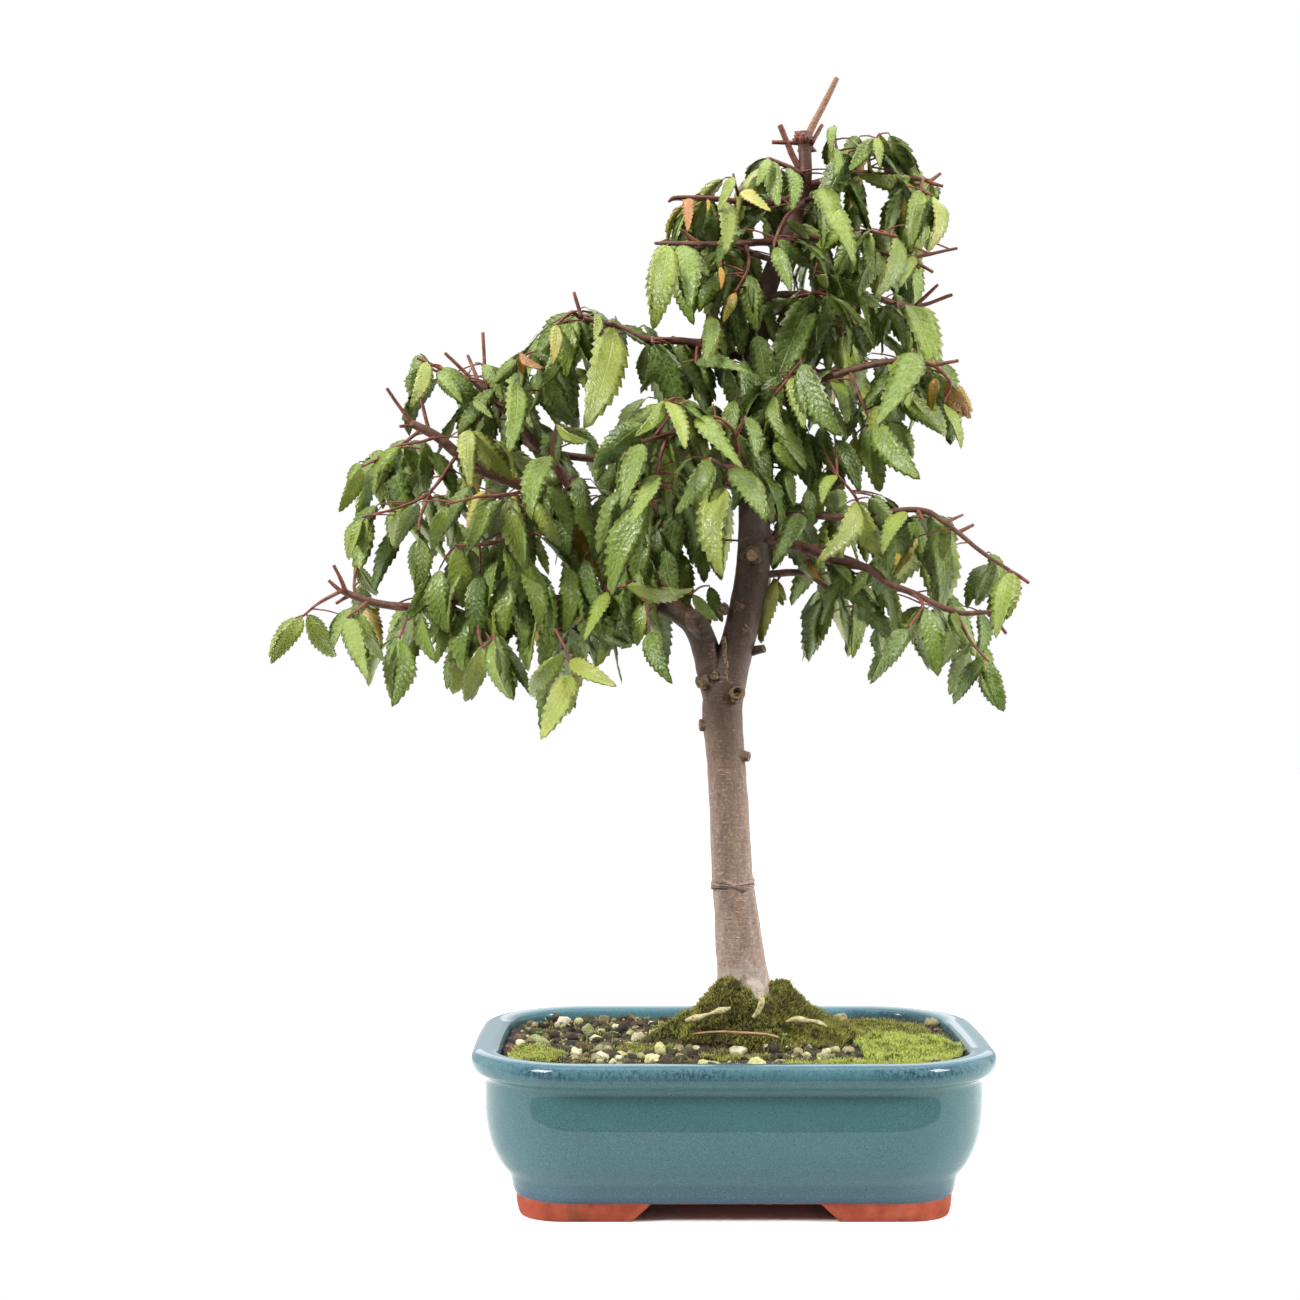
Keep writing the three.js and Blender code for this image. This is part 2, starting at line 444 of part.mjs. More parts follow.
// Wood whose radius runs evenly from its foot to its tip
function tapered(line, foot, tip, sides) {
  const last = line.length - 1;
  return limb(line.map((p, i) => [...p, foot + ((tip - foot) * i) / last]), sides);
}

// Rounded rectangle about the pot's centre, at an inset from the rim's widest line, its corners sharper at the feet
function potRing(inset, z) {
  const halfWidth = potWidth / 2 - inset;
  const halfDepth = potDepth / 2 - inset;
  const sharper = footCorner.taper * Math.max(inset - footCorner.from, 0);
  const radius = Math.max(potCorner - inset - sharper, footCorner.least);
  const ring = [];
  for (let corner = 0; corner < 4; corner += 1) {
    const turn = (corner * Math.PI) / 2;
    const cx = (halfWidth - radius) * (corner === 0 || corner === 3 ? 1 : -1);
    const cy = (halfDepth - radius) * (corner < 2 ? 1 : -1);
    for (let step = 0; step <= cornerSteps; step += 1) {
      const angle = turn + (step / cornerSteps) * (Math.PI / 2);
      ring.push(new THREE.Vector3(cx + Math.cos(angle) * radius, cy + Math.sin(angle) * radius, z));
    }
  }
  return ring;
}

// A copy of a geometry moved to a place
function moved(geometry, x, y, z) {
  return geometry.clone().translate(x, y, z);
}

// Trapezium channel between two feet, wider at the floor, running along Y or X
function footChannel(top, floor, alongX) {
  const outline = new THREE.Shape([
    new THREE.Vector2(-floor - 1, -1), new THREE.Vector2(floor + 1, -1),
    new THREE.Vector2(top, footHeight), new THREE.Vector2(-top, footHeight),
  ]);
  const channel = new THREE.ExtrudeGeometry(outline, { depth: potWidth * 2, bevelEnabled: false });
  channel.translate(0, 0, -potWidth).rotateX(Math.PI / 2);
  return solidFrom(alongX ? channel.rotateZ(Math.PI / 2) : channel);
}

// The pot's wall, less the recess under it, the channels between its feet and its drain holes
function potSolid() {
  const rings = [...potOutside, ...potInside].map(([inset, z]) => potRing(inset, z));
  let pot = skin(rings);
  pot = pot.subtract(skin([potRing(recessInset, -1), potRing(recessInset, footHeight)]));
  pot = pot.subtract(footChannel(footGap.top, footGap.floor, false));
  pot = pot.subtract(footChannel(footGap.sideTop, footGap.sideFloor, true));
  const hole = new THREE.CylinderGeometry(drain.radius, drain.radius, drain.reach, drain.sides);
  hole.rotateX(Math.PI / 2);
  [-drain.x, drain.x].forEach((x) => {
    pot = pot.subtract(solidFrom(moved(hole, x, 0, footHeight)));
  });
  return pot;
}

// Square plastic screen over a drain hole, a plate with rows of square meshes
function screenSolid(x) {
  const floor = potInside[potInside.length - 1][1] + seamGap;
  const size = drain.plate;
  let plate = solidFrom(moved(new THREE.BoxGeometry(size, size, drain.thick), x, 0, floor + drain.thick / 2));
  const pitch = (size - drain.barWidth) / drain.bars;
  const cell = new THREE.BoxGeometry(pitch - drain.barWidth, pitch - drain.barWidth, drain.thick * 3);
  for (let i = 0; i < drain.bars; i += 1) {
    for (let j = 0; j < drain.bars; j += 1) {
      const cx = x + (i - (drain.bars - 1) / 2) * pitch;
      const cy = (j - (drain.bars - 1) / 2) * pitch;
      plate = plate.subtract(solidFrom(moved(cell, cx, cy, floor + drain.thick / 2)));
    }
  }
  return plate;
}

// Height of the soil at a place: a near level bed, the mound's humps and small lumps
function soilHeight(x, y) {
  let z = soilTop + lumps.high * Math.sin(x * lumps.alongX + 1) * Math.cos(y * lumps.alongY);
  z += ripples.high * Math.sin(x * ripples.alongX + y * ripples.alongY);
  humps.forEach((hump) => {
    z += hump.high * Math.exp(-(((x - hump.x) / hump.wide) ** 2) - ((y - hump.y) / hump.deep) ** 2);
  });
  return z;
}

// One stone of seeded size and place, or nothing where the mound or the rim is
function pebbleSolid(index) {
  const { mound, rim, spread } = pebbles;
  const x = (draw(index, 1, 3) - 0.5) * spread.x;
  const y = (draw(index, 2, 3) - 0.5) * spread.y;
  const fromMound = ((x - mound.x) / mound.wide) ** 2 + ((y - mound.y) / mound.deep) ** 2;
  const toRim = (Math.abs(x) / rim.x) ** 4 + (Math.abs(y) / rim.y) ** 4;
  if (fromMound < 1 || toRim > 1) {
    return null;
  }
  const size = pebbles.least + (pebbles.most - pebbles.least) * draw(index, 3, 3) ** 2;
  const stone = new THREE.IcosahedronGeometry(size, 0);
  stone.scale(1, 0.8 + 0.3 * draw(index, 4, 3), pebbles.flat).rotateZ(draw(index, 5, 3) * 6);
  return solidFrom(moved(stone, x, y, soilHeight(x, y) + size * pebbles.sunk));
}

// Soil that fills the pot, with its relief on top, less the holes for the roots and the screens
function soilSolid(wells) {
  const wall = [...potInside].reverse().map(([inset, z]) => potRing(inset + soilInset, z + seamGap));
  const edge = potOutside[potOutside.length - 1][0] + soilInset;
  const rim = potRing(edge, soilTop);
  const heart = new THREE.Vector3(soilHeart.x, soilHeart.y, 0);
  const top = [1, ...soilRings].map((share) => rim.map((p) => {
    const place = heart.clone().lerp(p, share);
    return new THREE.Vector3(place.x, place.y, soilHeight(place.x, place.y));
  }));
  let soil = skin([...wall, ...top]);
  for (let i = 0; i < pebbles.count; i += 1) {
    const stone = pebbleSolid(i);
    soil = stone ? soil.add(stone) : soil;
  }
  wells.forEach((well) => {
    soil = soil.subtract(well);
  });
  const size = drain.plate + seamGap * 2;
  const high = drain.thick + seamGap * 2;
  const floor = potInside[potInside.length - 1][1];
  [-drain.x, drain.x].forEach((x) => {
    soil = soil.subtract(solidFrom(moved(new THREE.BoxGeometry(size, size, high * 2), x, 0, floor + seamGap)));
  });
  return mainBody(soil);
}

// Leaf from its root to its tip: a blade with toothed edges, thick at the rib, folded and arched
function leafSolid(root, tip, facing, turn) {
  const axis = tip.clone().sub(root);
  const length = axis.length();
  axis.normalize();
  const face = facing.clone().addScaledVector(axis, -facing.dot(axis)).normalize();
  face.applyAxisAngle(axis, THREE.MathUtils.degToRad(turn));
  const side = new THREE.Vector3().crossVectors(axis, face);
  const half = (length * leafShape.width) / 2;
  const at = (share, across, lift) => root.clone()
    .addScaledVector(axis, share * length)
    .addScaledVector(side, across)
    .addScaledVector(face, lift + leafShape.arch * length * Math.sin(Math.PI * share));
  const points = [at(0, 0, 0), at(1, 0, 0)];
  const faces = [];
  leafRib.forEach(([share, thick]) => points.push(at(share, 0, thick / 2), at(share, 0, -thick / 2)));
  [1, -1].forEach((hand) => {
    const first = points.length;
    leafEdge.forEach(([share, wide]) => {
      const across = wide * half;
      points.push(at(share, hand * across, across * leafShape.fold));
    });
    const edge = [[0, 0], ...leafEdge.map((p, i) => [p[0], first + i]), [1, 1]];
    [0, 1].forEach((under) => {
      const rib = [[0, 0], ...leafRib.map((p, i) => [p[0], 2 + 2 * i + under]), [1, 1]];
      let e = 0;
      let r = 0;
      while (e + 1 < edge.length || r + 1 < rib.length) {
        const stepEdge = r + 1 >= rib.length || (e + 1 < edge.length && edge[e + 1][0] <= rib[r + 1][0]);
        const here = [edge[e][1], rib[r][1]];
        e += stepEdge ? 1 : 0;
        r += stepEdge ? 0 : 1;
        const next = stepEdge ? edge[e][1] : rib[r][1];
        if (here[0] !== here[1] && next !== here[0] && next !== here[1]) {
          const corners = [here[1], here[0], next];
          faces.push(...(hand === (under ? -1 : 1) ? corners : corners.reverse()));
        }
      }
    });
  });
  return solidOf(points.flatMap((p) => p.toArray()), faces);
}

// The place on a bough's wood that lies nearest to a leaf's root, seen from the front
function nearestOnWood(lines, x, z) {
  let best = null;
  lines.forEach((line) => {
    for (let i = 0; i + 1 < line.length; i += 1) {
      const [a, b] = [line[i], line[i + 1]];
      const span = [b[0] - a[0], b[1] - a[1], b[2] - a[2]];
      const flat = span[0] ** 2 + span[2] ** 2;
      const share = Math.min(Math.max(((x - a[0]) * span[0] + (z - a[2]) * span[2]) / flat, 0.02), 0.98);
      const place = a.map((value, k) => value + span[k] * share);
      const away = Math.hypot(place[0] - x, place[2] - z);
      if (best === null || away < best.away) {
        best = { away, place };
      }
    }
  });
  return best.place;
}

// A back bough's wood and leaves, worked out from the bough in front of it
function deepened(back, index) {
  const model = boughs.find((bough) => bough.name === back.like);
  const last = model.line.length - 1;
  const shareAt = (x, z) => {
    const away = model.line.map((p) => Math.hypot(p[0] - x, p[2] - z));
    return away.indexOf(Math.min(...away)) / last;
  };
  const deeper = ([x, y, z]) => {
    const depth = back.depth * (backLook.near + (1 - backLook.near) * shareAt(x, z));
    return [x, depth - y * backLook.mirrored, z];
  };
  const line = [...back.lead, ...model.line.slice(back.skip).map((p) => deeper(p))];
  const keep = (x, z) => shareAt(x, z) * last >= back.skip;
  const leaves = model.leaves.filter((leaf, i) => keep(leaf[0], leaf[1]) && draw(index, i, 24) < backLook.leaves);
  const used = (twig) => twig.slice(1).some((p) => leaves.some(
    (leaf) => Math.hypot(p[0] - leaf[0], p[2] - leaf[1]) < backLook.twigReach,
  ));
  const wood = [line];
  model.twigs.filter((twig) => keep(twig[0][0], twig[0][2]) && used(twig)).forEach((twig) => {
    const foot = nearestOnWood(wood, twig[0][0], twig[0][2]);
    const rest = twig.slice(1).map(([x, y, z]) => [x, foot[1] - (y - twig[0][1]) * backLook.mirrored, z]);
    wood.push([foot, ...rest]);
  });
  return {
    name: back.name,
    thick: [model.thick[0] * backLook.thick, model.thick[1]],
    line,
    twigs: wood.slice(1),
    stubs: [],
    leaves: leaves.map((leaf, i) => [
      leaf[0], leaf[1],
      leaf[2] + backLook.tipX * (draw(index, i, 21) - 0.5), leaf[3] + backLook.tipZ * draw(index, i, 22),
      leaf[4] * backLook.turn + backLook.turnMore * draw(index, i, 23), leaf[5],
    ]),
    facing: 1,
  };
}

// Bough's foot moved along its first stretch until it stands clear of the wood that carries it
function seated(bough, carriers) {
  const [foot, second] = bough.line;
  const reach = Math.hypot(...second.map((value, k) => value - foot[k]));
  let line = bough.line;
  const sides = bough.thick[0] > thickFrom ? woodSides.thickBough : woodSides.bough;
  let wood = tapered(line, ...bough.thick, sides);
  for (let slide = 0; slide < reach && !clearOf(wood, carriers); slide += seatStep) {
    const start = foot.map((value, k) => value + ((second[k] - value) * slide) / reach);
    line = [start, ...bough.line.slice(1)];
    wood = tapered(line, ...bough.thick, sides);
  }
  return { line, wood };
}

// Whether a solid keeps the seam's gap to every other one
function clearOf(solid, others) {
  const box = solid.boundingBox();
  return others.every((other) => {
    const apart = [0, 1, 2].some((k) => box.min[k] > other.box.max[k] + seamGap
      || box.max[k] < other.box.min[k] - seamGap);
    return apart || other.solid.minGap(solid, 1) >= seamGap - gapSlack;
  });
}

// How much of a new blade would lie inside what its own bough already holds, beyond its root
function crossing(blade, own) {
  const box = blade.boundingBox();
  return own.reduce((sum, other) => {
    const apart = [0, 1, 2].some((k) => box.min[k] > other.box.max[k] || box.max[k] < other.box.min[k]);
    return apart ? sum : sum + blade.intersect(other.solid).volume();
  }, 0);
}

// A solid kept with its box and with the name of the bough that it belongs to
function boxed(solid, owner) {
  return { solid, box: solid.boundingBox(), owner };
}

const group = new THREE.Group();

// Adds a solid to the part as a named node with its colour and roughness
function addNode(name, solid, [color, roughness]) {
  const material = new THREE.MeshStandardMaterial({ color, roughness, metalness: 0 });
  const mesh = new THREE.Mesh(geometryOf(solid), material);
  mesh.name = name;
  group.add(mesh);
}

// Trunk with its leader, left limb, roots and cut stubs, grown as one piece
const trunkSolid = joined([
  limb(trunkLine, woodSides.trunk),
  limb(limbLine, woodSides.limb),
  ...rootLines.map((line) => limb(line, woodSides.root)),
  ...bareStubs.map((line) => limb(line, woodSides.stub)),
]);

// Holes in the soil that the trunk's foot and the roots stand in, a seam wider and a little deeper
const [footX, footY, footZ, footRadius] = trunkLine[0];
const wellLine = [[footX, footY, footZ - seamGap, footRadius], ...trunkLine.slice(1, wellPoints)];
const trunkWell = limb(wellLine, woodSides.trunk, seamGap);
const rootWells = rootLines.map((line) => {
  const [before, end] = line.slice(-2);
  const past = end.map((value, k) => (k < 3 ? value + (value - before[k]) * wellReach : value));
  return limb([...line.slice(0, -1), past], woodSides.root, seamGap);
});

addNode('pot', potSolid(), finish.glaze);
addNode('drain_screen_left', screenSolid(-drain.x), finish.screen);
addNode('drain_screen_right', screenSolid(drain.x), finish.screen);
addNode('soil', soilSolid([trunkWell, ...rootWells]), finish.soil);
addNode('trunk', trunkSolid, finish.bark);

// Wood of every bough first, then the leaves, each in the first lean that stays clear of the others
const growing = [...boughs.map((bough) => ({ facing: -1, ...bough })), ...backBoughs.map(deepened)];
const taken = [boxed(trunkSolid, 'trunk')];
growing.forEach((bough) => {
  const { line, wood } = seated(bough, taken);
  const twigs = bough.twigs.map((twig) => tapered(twig, ...twigThick, woodSides.twig));
  const stubs = bough.stubs.map((stub) => tapered(stub, ...stubThick, woodSides.twig));
  bough.lines = [line, ...bough.twigs];
  bough.solids = [wood, ...twigs, ...stubs];
  bough.solids.forEach((solid) => taken.push(boxed(solid, bough.name)));
});
growing.forEach((bough, index) => {
  const others = taken.filter((item) => item.owner !== bough.name);
  const own = taken.filter((item) => item.owner === bough.name);
  bough.leaves.forEach(([rootX, rootZ, tipX, tipZ, turn], i) => {
    const rootPlace = nearestOnWood(bough.lines, rootX, rootZ);
    const root = sight(rootPlace);
    const length = Math.hypot(tipX - rootPlace[0], tipZ - rootPlace[2]);
    const hand = draw(index, i, 1) < 0.5 ? -1 : 1;
    const lean = (draw(index, i, 2) - 0.5) * 2 * leafShape.lean + leafShape.outward * bough.facing;
    let best = null;
    for (const more of leanTries) {
      const tip = sight([tipX, rootPlace[1] + (lean + more) * length, tipZ]);
      const blade = leafSolid(root, tip, new THREE.Vector3(0, bough.facing, 0), hand * turn);
      if (clearOf(blade, others)) {
        const cost = crossing(blade, own);
        if (cost < (best === null ? mostCrossing : best.cost)) {
          best = { cost, blade };
        }
      }
    }
    if (best !== null) {
      bough.solids.push(best.blade);
      own.push(boxed(best.blade, bough.name));
      taken.push(boxed(best.blade, bough.name));
    }
  });
  addNode(bough.name, joined(bough.solids), bough.facing < 0 ? finish.frontLeaves : finish.backLeaves);
});

// The origin is the middle of the whole part's box, on the surface that it stands on
const whole = new THREE.Box3().setFromObject(group);
const middle = whole.getCenter(new THREE.Vector3());
group.position.set(-middle.x, -middle.y, -whole.min.z);

export default group;
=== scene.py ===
import math

import bpy
import numpy as np
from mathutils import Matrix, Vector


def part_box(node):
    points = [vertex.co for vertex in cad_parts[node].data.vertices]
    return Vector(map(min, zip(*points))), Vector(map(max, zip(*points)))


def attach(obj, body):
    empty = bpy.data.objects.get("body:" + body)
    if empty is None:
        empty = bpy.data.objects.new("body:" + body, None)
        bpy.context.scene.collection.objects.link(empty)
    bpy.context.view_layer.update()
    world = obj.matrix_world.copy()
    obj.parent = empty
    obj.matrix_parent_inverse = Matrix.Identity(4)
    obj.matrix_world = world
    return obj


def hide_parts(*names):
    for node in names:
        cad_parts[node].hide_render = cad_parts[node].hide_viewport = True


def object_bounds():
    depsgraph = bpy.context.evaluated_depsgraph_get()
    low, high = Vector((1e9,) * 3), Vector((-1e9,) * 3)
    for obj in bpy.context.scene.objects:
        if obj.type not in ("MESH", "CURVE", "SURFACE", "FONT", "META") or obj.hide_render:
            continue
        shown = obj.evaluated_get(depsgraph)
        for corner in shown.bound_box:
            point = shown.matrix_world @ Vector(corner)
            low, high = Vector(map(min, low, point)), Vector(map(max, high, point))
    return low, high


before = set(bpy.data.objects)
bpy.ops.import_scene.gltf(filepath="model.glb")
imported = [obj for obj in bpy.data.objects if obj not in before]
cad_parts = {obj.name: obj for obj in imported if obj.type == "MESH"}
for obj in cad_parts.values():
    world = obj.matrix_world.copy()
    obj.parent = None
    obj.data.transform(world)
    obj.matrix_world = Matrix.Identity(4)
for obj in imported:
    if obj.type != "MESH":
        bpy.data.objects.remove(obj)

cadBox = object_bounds()
mm = 0.001
potLow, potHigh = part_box("pot")
potMiddle = np.array([(potLow[0] + potHigh[0]) / 2, (potLow[1] + potHigh[1]) / 2, 0.0])
print("frame loaded, pot centre at", np.round(potMiddle, 4))

# Where the picture is taken from, in mm from the pot's centre; places on the tree are given as seen from it
viewPoint = {"x": -31.9, "distance": 920.0, "z": 212.5, "lens": 64.4, "sensor": 36, "nearest": 0.05}


def draw(a, b, c):
    # Seeded value from 0 to 1: the fractional part of a large sine of the three numbers
    wave = np.sin(np.asarray(a) * 127.1 + np.asarray(b) * 311.7 + np.asarray(c) * 74.7) * 43758.5453
    return wave - np.floor(wave)


def sight(points):
    # A place seen from the front, moved along the line of sight to its own depth y
    points = np.asarray(points, float)
    scale = (viewPoint["distance"] + points[..., 1]) / viewPoint["distance"]
    out = points.copy()
    out[..., 0] = viewPoint["x"] + (points[..., 0] - viewPoint["x"]) * scale
    out[..., 2] = viewPoint["z"] + (points[..., 2] - viewPoint["z"]) * scale
    return out


def ripple(points, scale, seed):
    # Smooth uneven value about -1 to 1: the mean of six sine waves that run in seeded directions
    total = np.zeros(points.shape[:-1])
    for k in range(6):
        way = np.array([draw(seed, k, 1) - 0.5, draw(seed, k, 2) - 0.5, draw(seed, k, 3) - 0.5])
        way = way / np.linalg.norm(way) * (0.7 + 0.9 * draw(seed, k, 4))
        total += np.sin(points @ way * (2 * math.pi / scale) + 6.28 * draw(seed, k, 5))
    return total / 3.2


def between(ends, share):
    # A value at a share of the way from the first end to the last
    return ends[0] + (ends[1] - ends[0]) * share


def around(count):
    # Evenly spaced angles once round a circle
    return np.arange(count) * 2 * math.pi / count


def unit(v):
    # Vectors over their own lengths
    return v / np.maximum(np.linalg.norm(v, axis=-1, keepdims=True), 1e-9)


def ringSkin(rings, tint=None):
    # Closed skin over rings (rows by columns): quads between rings, and a fan to a middle point at both ends
    rows, cols = rings.shape[:2]
    index = np.arange(rows * cols).reshape(rows, cols)
    turned = np.roll(index, -1, axis=1)
    quads = np.stack([index[:-1], turned[:-1], turned[1:], index[1:]], -1).reshape(-1, 4)
    hubs = np.stack([rings[0].mean(0), rings[-1].mean(0)])
    first, last = rows * cols, rows * cols + 1
    tris = np.concatenate([
        np.stack([turned[0], index[0], np.full(cols, first)], -1),
        np.stack([index[-1], turned[-1], np.full(cols, last)], -1),
    ])
    verts = np.concatenate([rings.reshape(-1, 3), hubs])
    if tint is None:
        tint = np.zeros((rows, cols, 4))
    tints = np.concatenate([tint.reshape(-1, 4), tint[0].mean(0)[None], tint[-1].mean(0)[None]])
    return {"verts": verts, "quads": quads, "tris": tris, "tint": tints}


def smoothLine(points, perPart):
    # Catmull-Rom curve through the points, with perPart steps to each stretch
    p = np.asarray(points, float)
    p = np.concatenate([2 * p[:1] - p[1:2], p, 2 * p[-1:] - p[-2:-1]])
    t = (np.arange(perPart) / perPart)[None, :, None]
    a, b, c, d = (p[k:len(p) - 3 + k][:, None] for k in range(4))
    square, cube = 2 * a - 5 * b + 4 * c - d, 3 * b - a - 3 * c + d
    curve = 0.5 * (2 * b + (c - a) * t + square * t ** 2 + cube * t ** 3)
    return np.concatenate([curve.reshape(-1, p.shape[1]), p[-2:-1]])


# How a cut end rolls in over its lip: share of the radius, and rise as a share of it
cutEnds = {
    "pale": [(0.97, 0.12), (0.8, 0.2), (0.62, 0.1), (0.3, 0.06)],
    "healed": [(1.02, 0.3), (0.82, 0.45), (0.6, -0.1), (0.3, -0.35)],
}
cutTints = {"pale": 1.0, "healed": 0.35}
# Uneven bark: size of the lumps in mm, share in the swell, and stretch along the height
barkLumps = {"broad": (7.0, 0.6), "fine": (3.2, 0.4, 0.35), "ridge": (9.0, 0.12)}


def woodTube(points, sides, perPart=6, rough=0.05, seed=1, young=0.0, cutEnd="", ridged=0.0):
    # Round wood along a smooth curve of x, y, z, radius: each ring turns about the curve, with uneven bark
    line = smoothLine(points, perPart)
    middle, radius = sight(line[:, :3]), np.maximum(line[:, 3], 0.2)
    along = unit(np.gradient(middle, axis=0))
    chord = unit(middle[-1] - middle[0])
    handy = np.eye(3)[int(np.argmin(np.abs(chord)))]
    side = unit(np.cross(along, handy))
    other = np.cross(along, side)
    angle = around(sides)
    spoke = np.cos(angle)[None, :, None] * side[:, None] + np.sin(angle)[None, :, None] * other[:, None]
    rings = middle[:, None] + spoke * radius[:, None, None]
    broad, broadShare = barkLumps["broad"]
    fine, fineShare, fineStretch = barkLumps["fine"]
    ridge, ridgeStretch = barkLumps["ridge"]
    bump = ripple(rings, broad, seed) * broadShare
    bump = bump + ripple(rings * [1, 1, fineStretch], fine, seed + 5) * fineShare
    swell = 1 + rough * bump
    if ridged:
        swell = swell + ridged * np.maximum(ripple(rings * [1, 1, ridgeStretch], ridge, seed + 9), 0)
    rings = middle[:, None] + spoke * (radius[:, None] * swell)[..., None]
    tint = np.zeros(rings.shape[:2] + (4,))
    tint[..., 1] = young
    if cutEnd:
        # The end rolls in over a lip to a flat or, when healed, sunken face
        inner = cutEnds[cutEnd]
        wide = radius[-1]
        more = [rings[-1] * share + middle[-1] * (1 - share) + along[-1] * out * wide for share, out in inner]
        rings = np.concatenate([rings, np.stack(more)])
        tint = np.concatenate([tint] + [tint[-1:]] * len(inner))
        tint[-3:, :, 0] = cutTints[cutEnd]
    return ringSkin(rings, tint)


def makePiece(name, parts, material, replaced=()):
    # One mesh object from parts with verts, quads, tris, tint and, for blades, uv
    verts = np.concatenate([p["verts"] for p in parts]) * mm + potMiddle
    starts = np.cumsum([0] + [len(p["verts"]) for p in parts[:-1]])
    quads = np.concatenate([p["quads"] + s for p, s in zip(parts, starts)])
    tris = np.concatenate([p["tris"] + s for p, s in zip(parts, starts)])
    corners = np.concatenate([quads.ravel(), tris.ravel()]).astype(np.int32)
    mesh = bpy.data.meshes.new(name)
    mesh.vertices.add(len(verts))
    mesh.vertices.foreach_set("co", verts.astype(np.float32).ravel())
    mesh.loops.add(len(corners))
    mesh.loops.foreach_set("vertex_index", corners)
    mesh.polygons.add(len(quads) + len(tris))
    begin = np.concatenate([np.arange(len(quads)) * 4, len(quads) * 4 + np.arange(len(tris)) * 3])
    mesh.polygons.foreach_set("loop_start", begin.astype(np.int32))
    mesh.polygons.foreach_set("use_smooth", np.ones(len(quads) + len(tris), bool))
    mesh.update(calc_edges=True)
    mesh.validate()
    tint = mesh.color_attributes.new("tint", "FLOAT_COLOR", "POINT")
    tint.data.foreach_set("color", np.concatenate([p["tint"] for p in parts]).astype(np.float32).ravel())
    if "uv" in parts[0]:
        uv = np.concatenate([p["uv"] for p in parts])[corners]
        layer = mesh.uv_layers.new(name="blade")
        layer.data.foreach_set("uv", uv.astype(np.float32).ravel())
    mesh.materials.append(material)
    piece = bpy.data.objects.new(name, mesh)
    bpy.context.scene.collection.objects.link(piece)
    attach(piece, "root")
    if replaced:
        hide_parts(*replaced)
    return piece


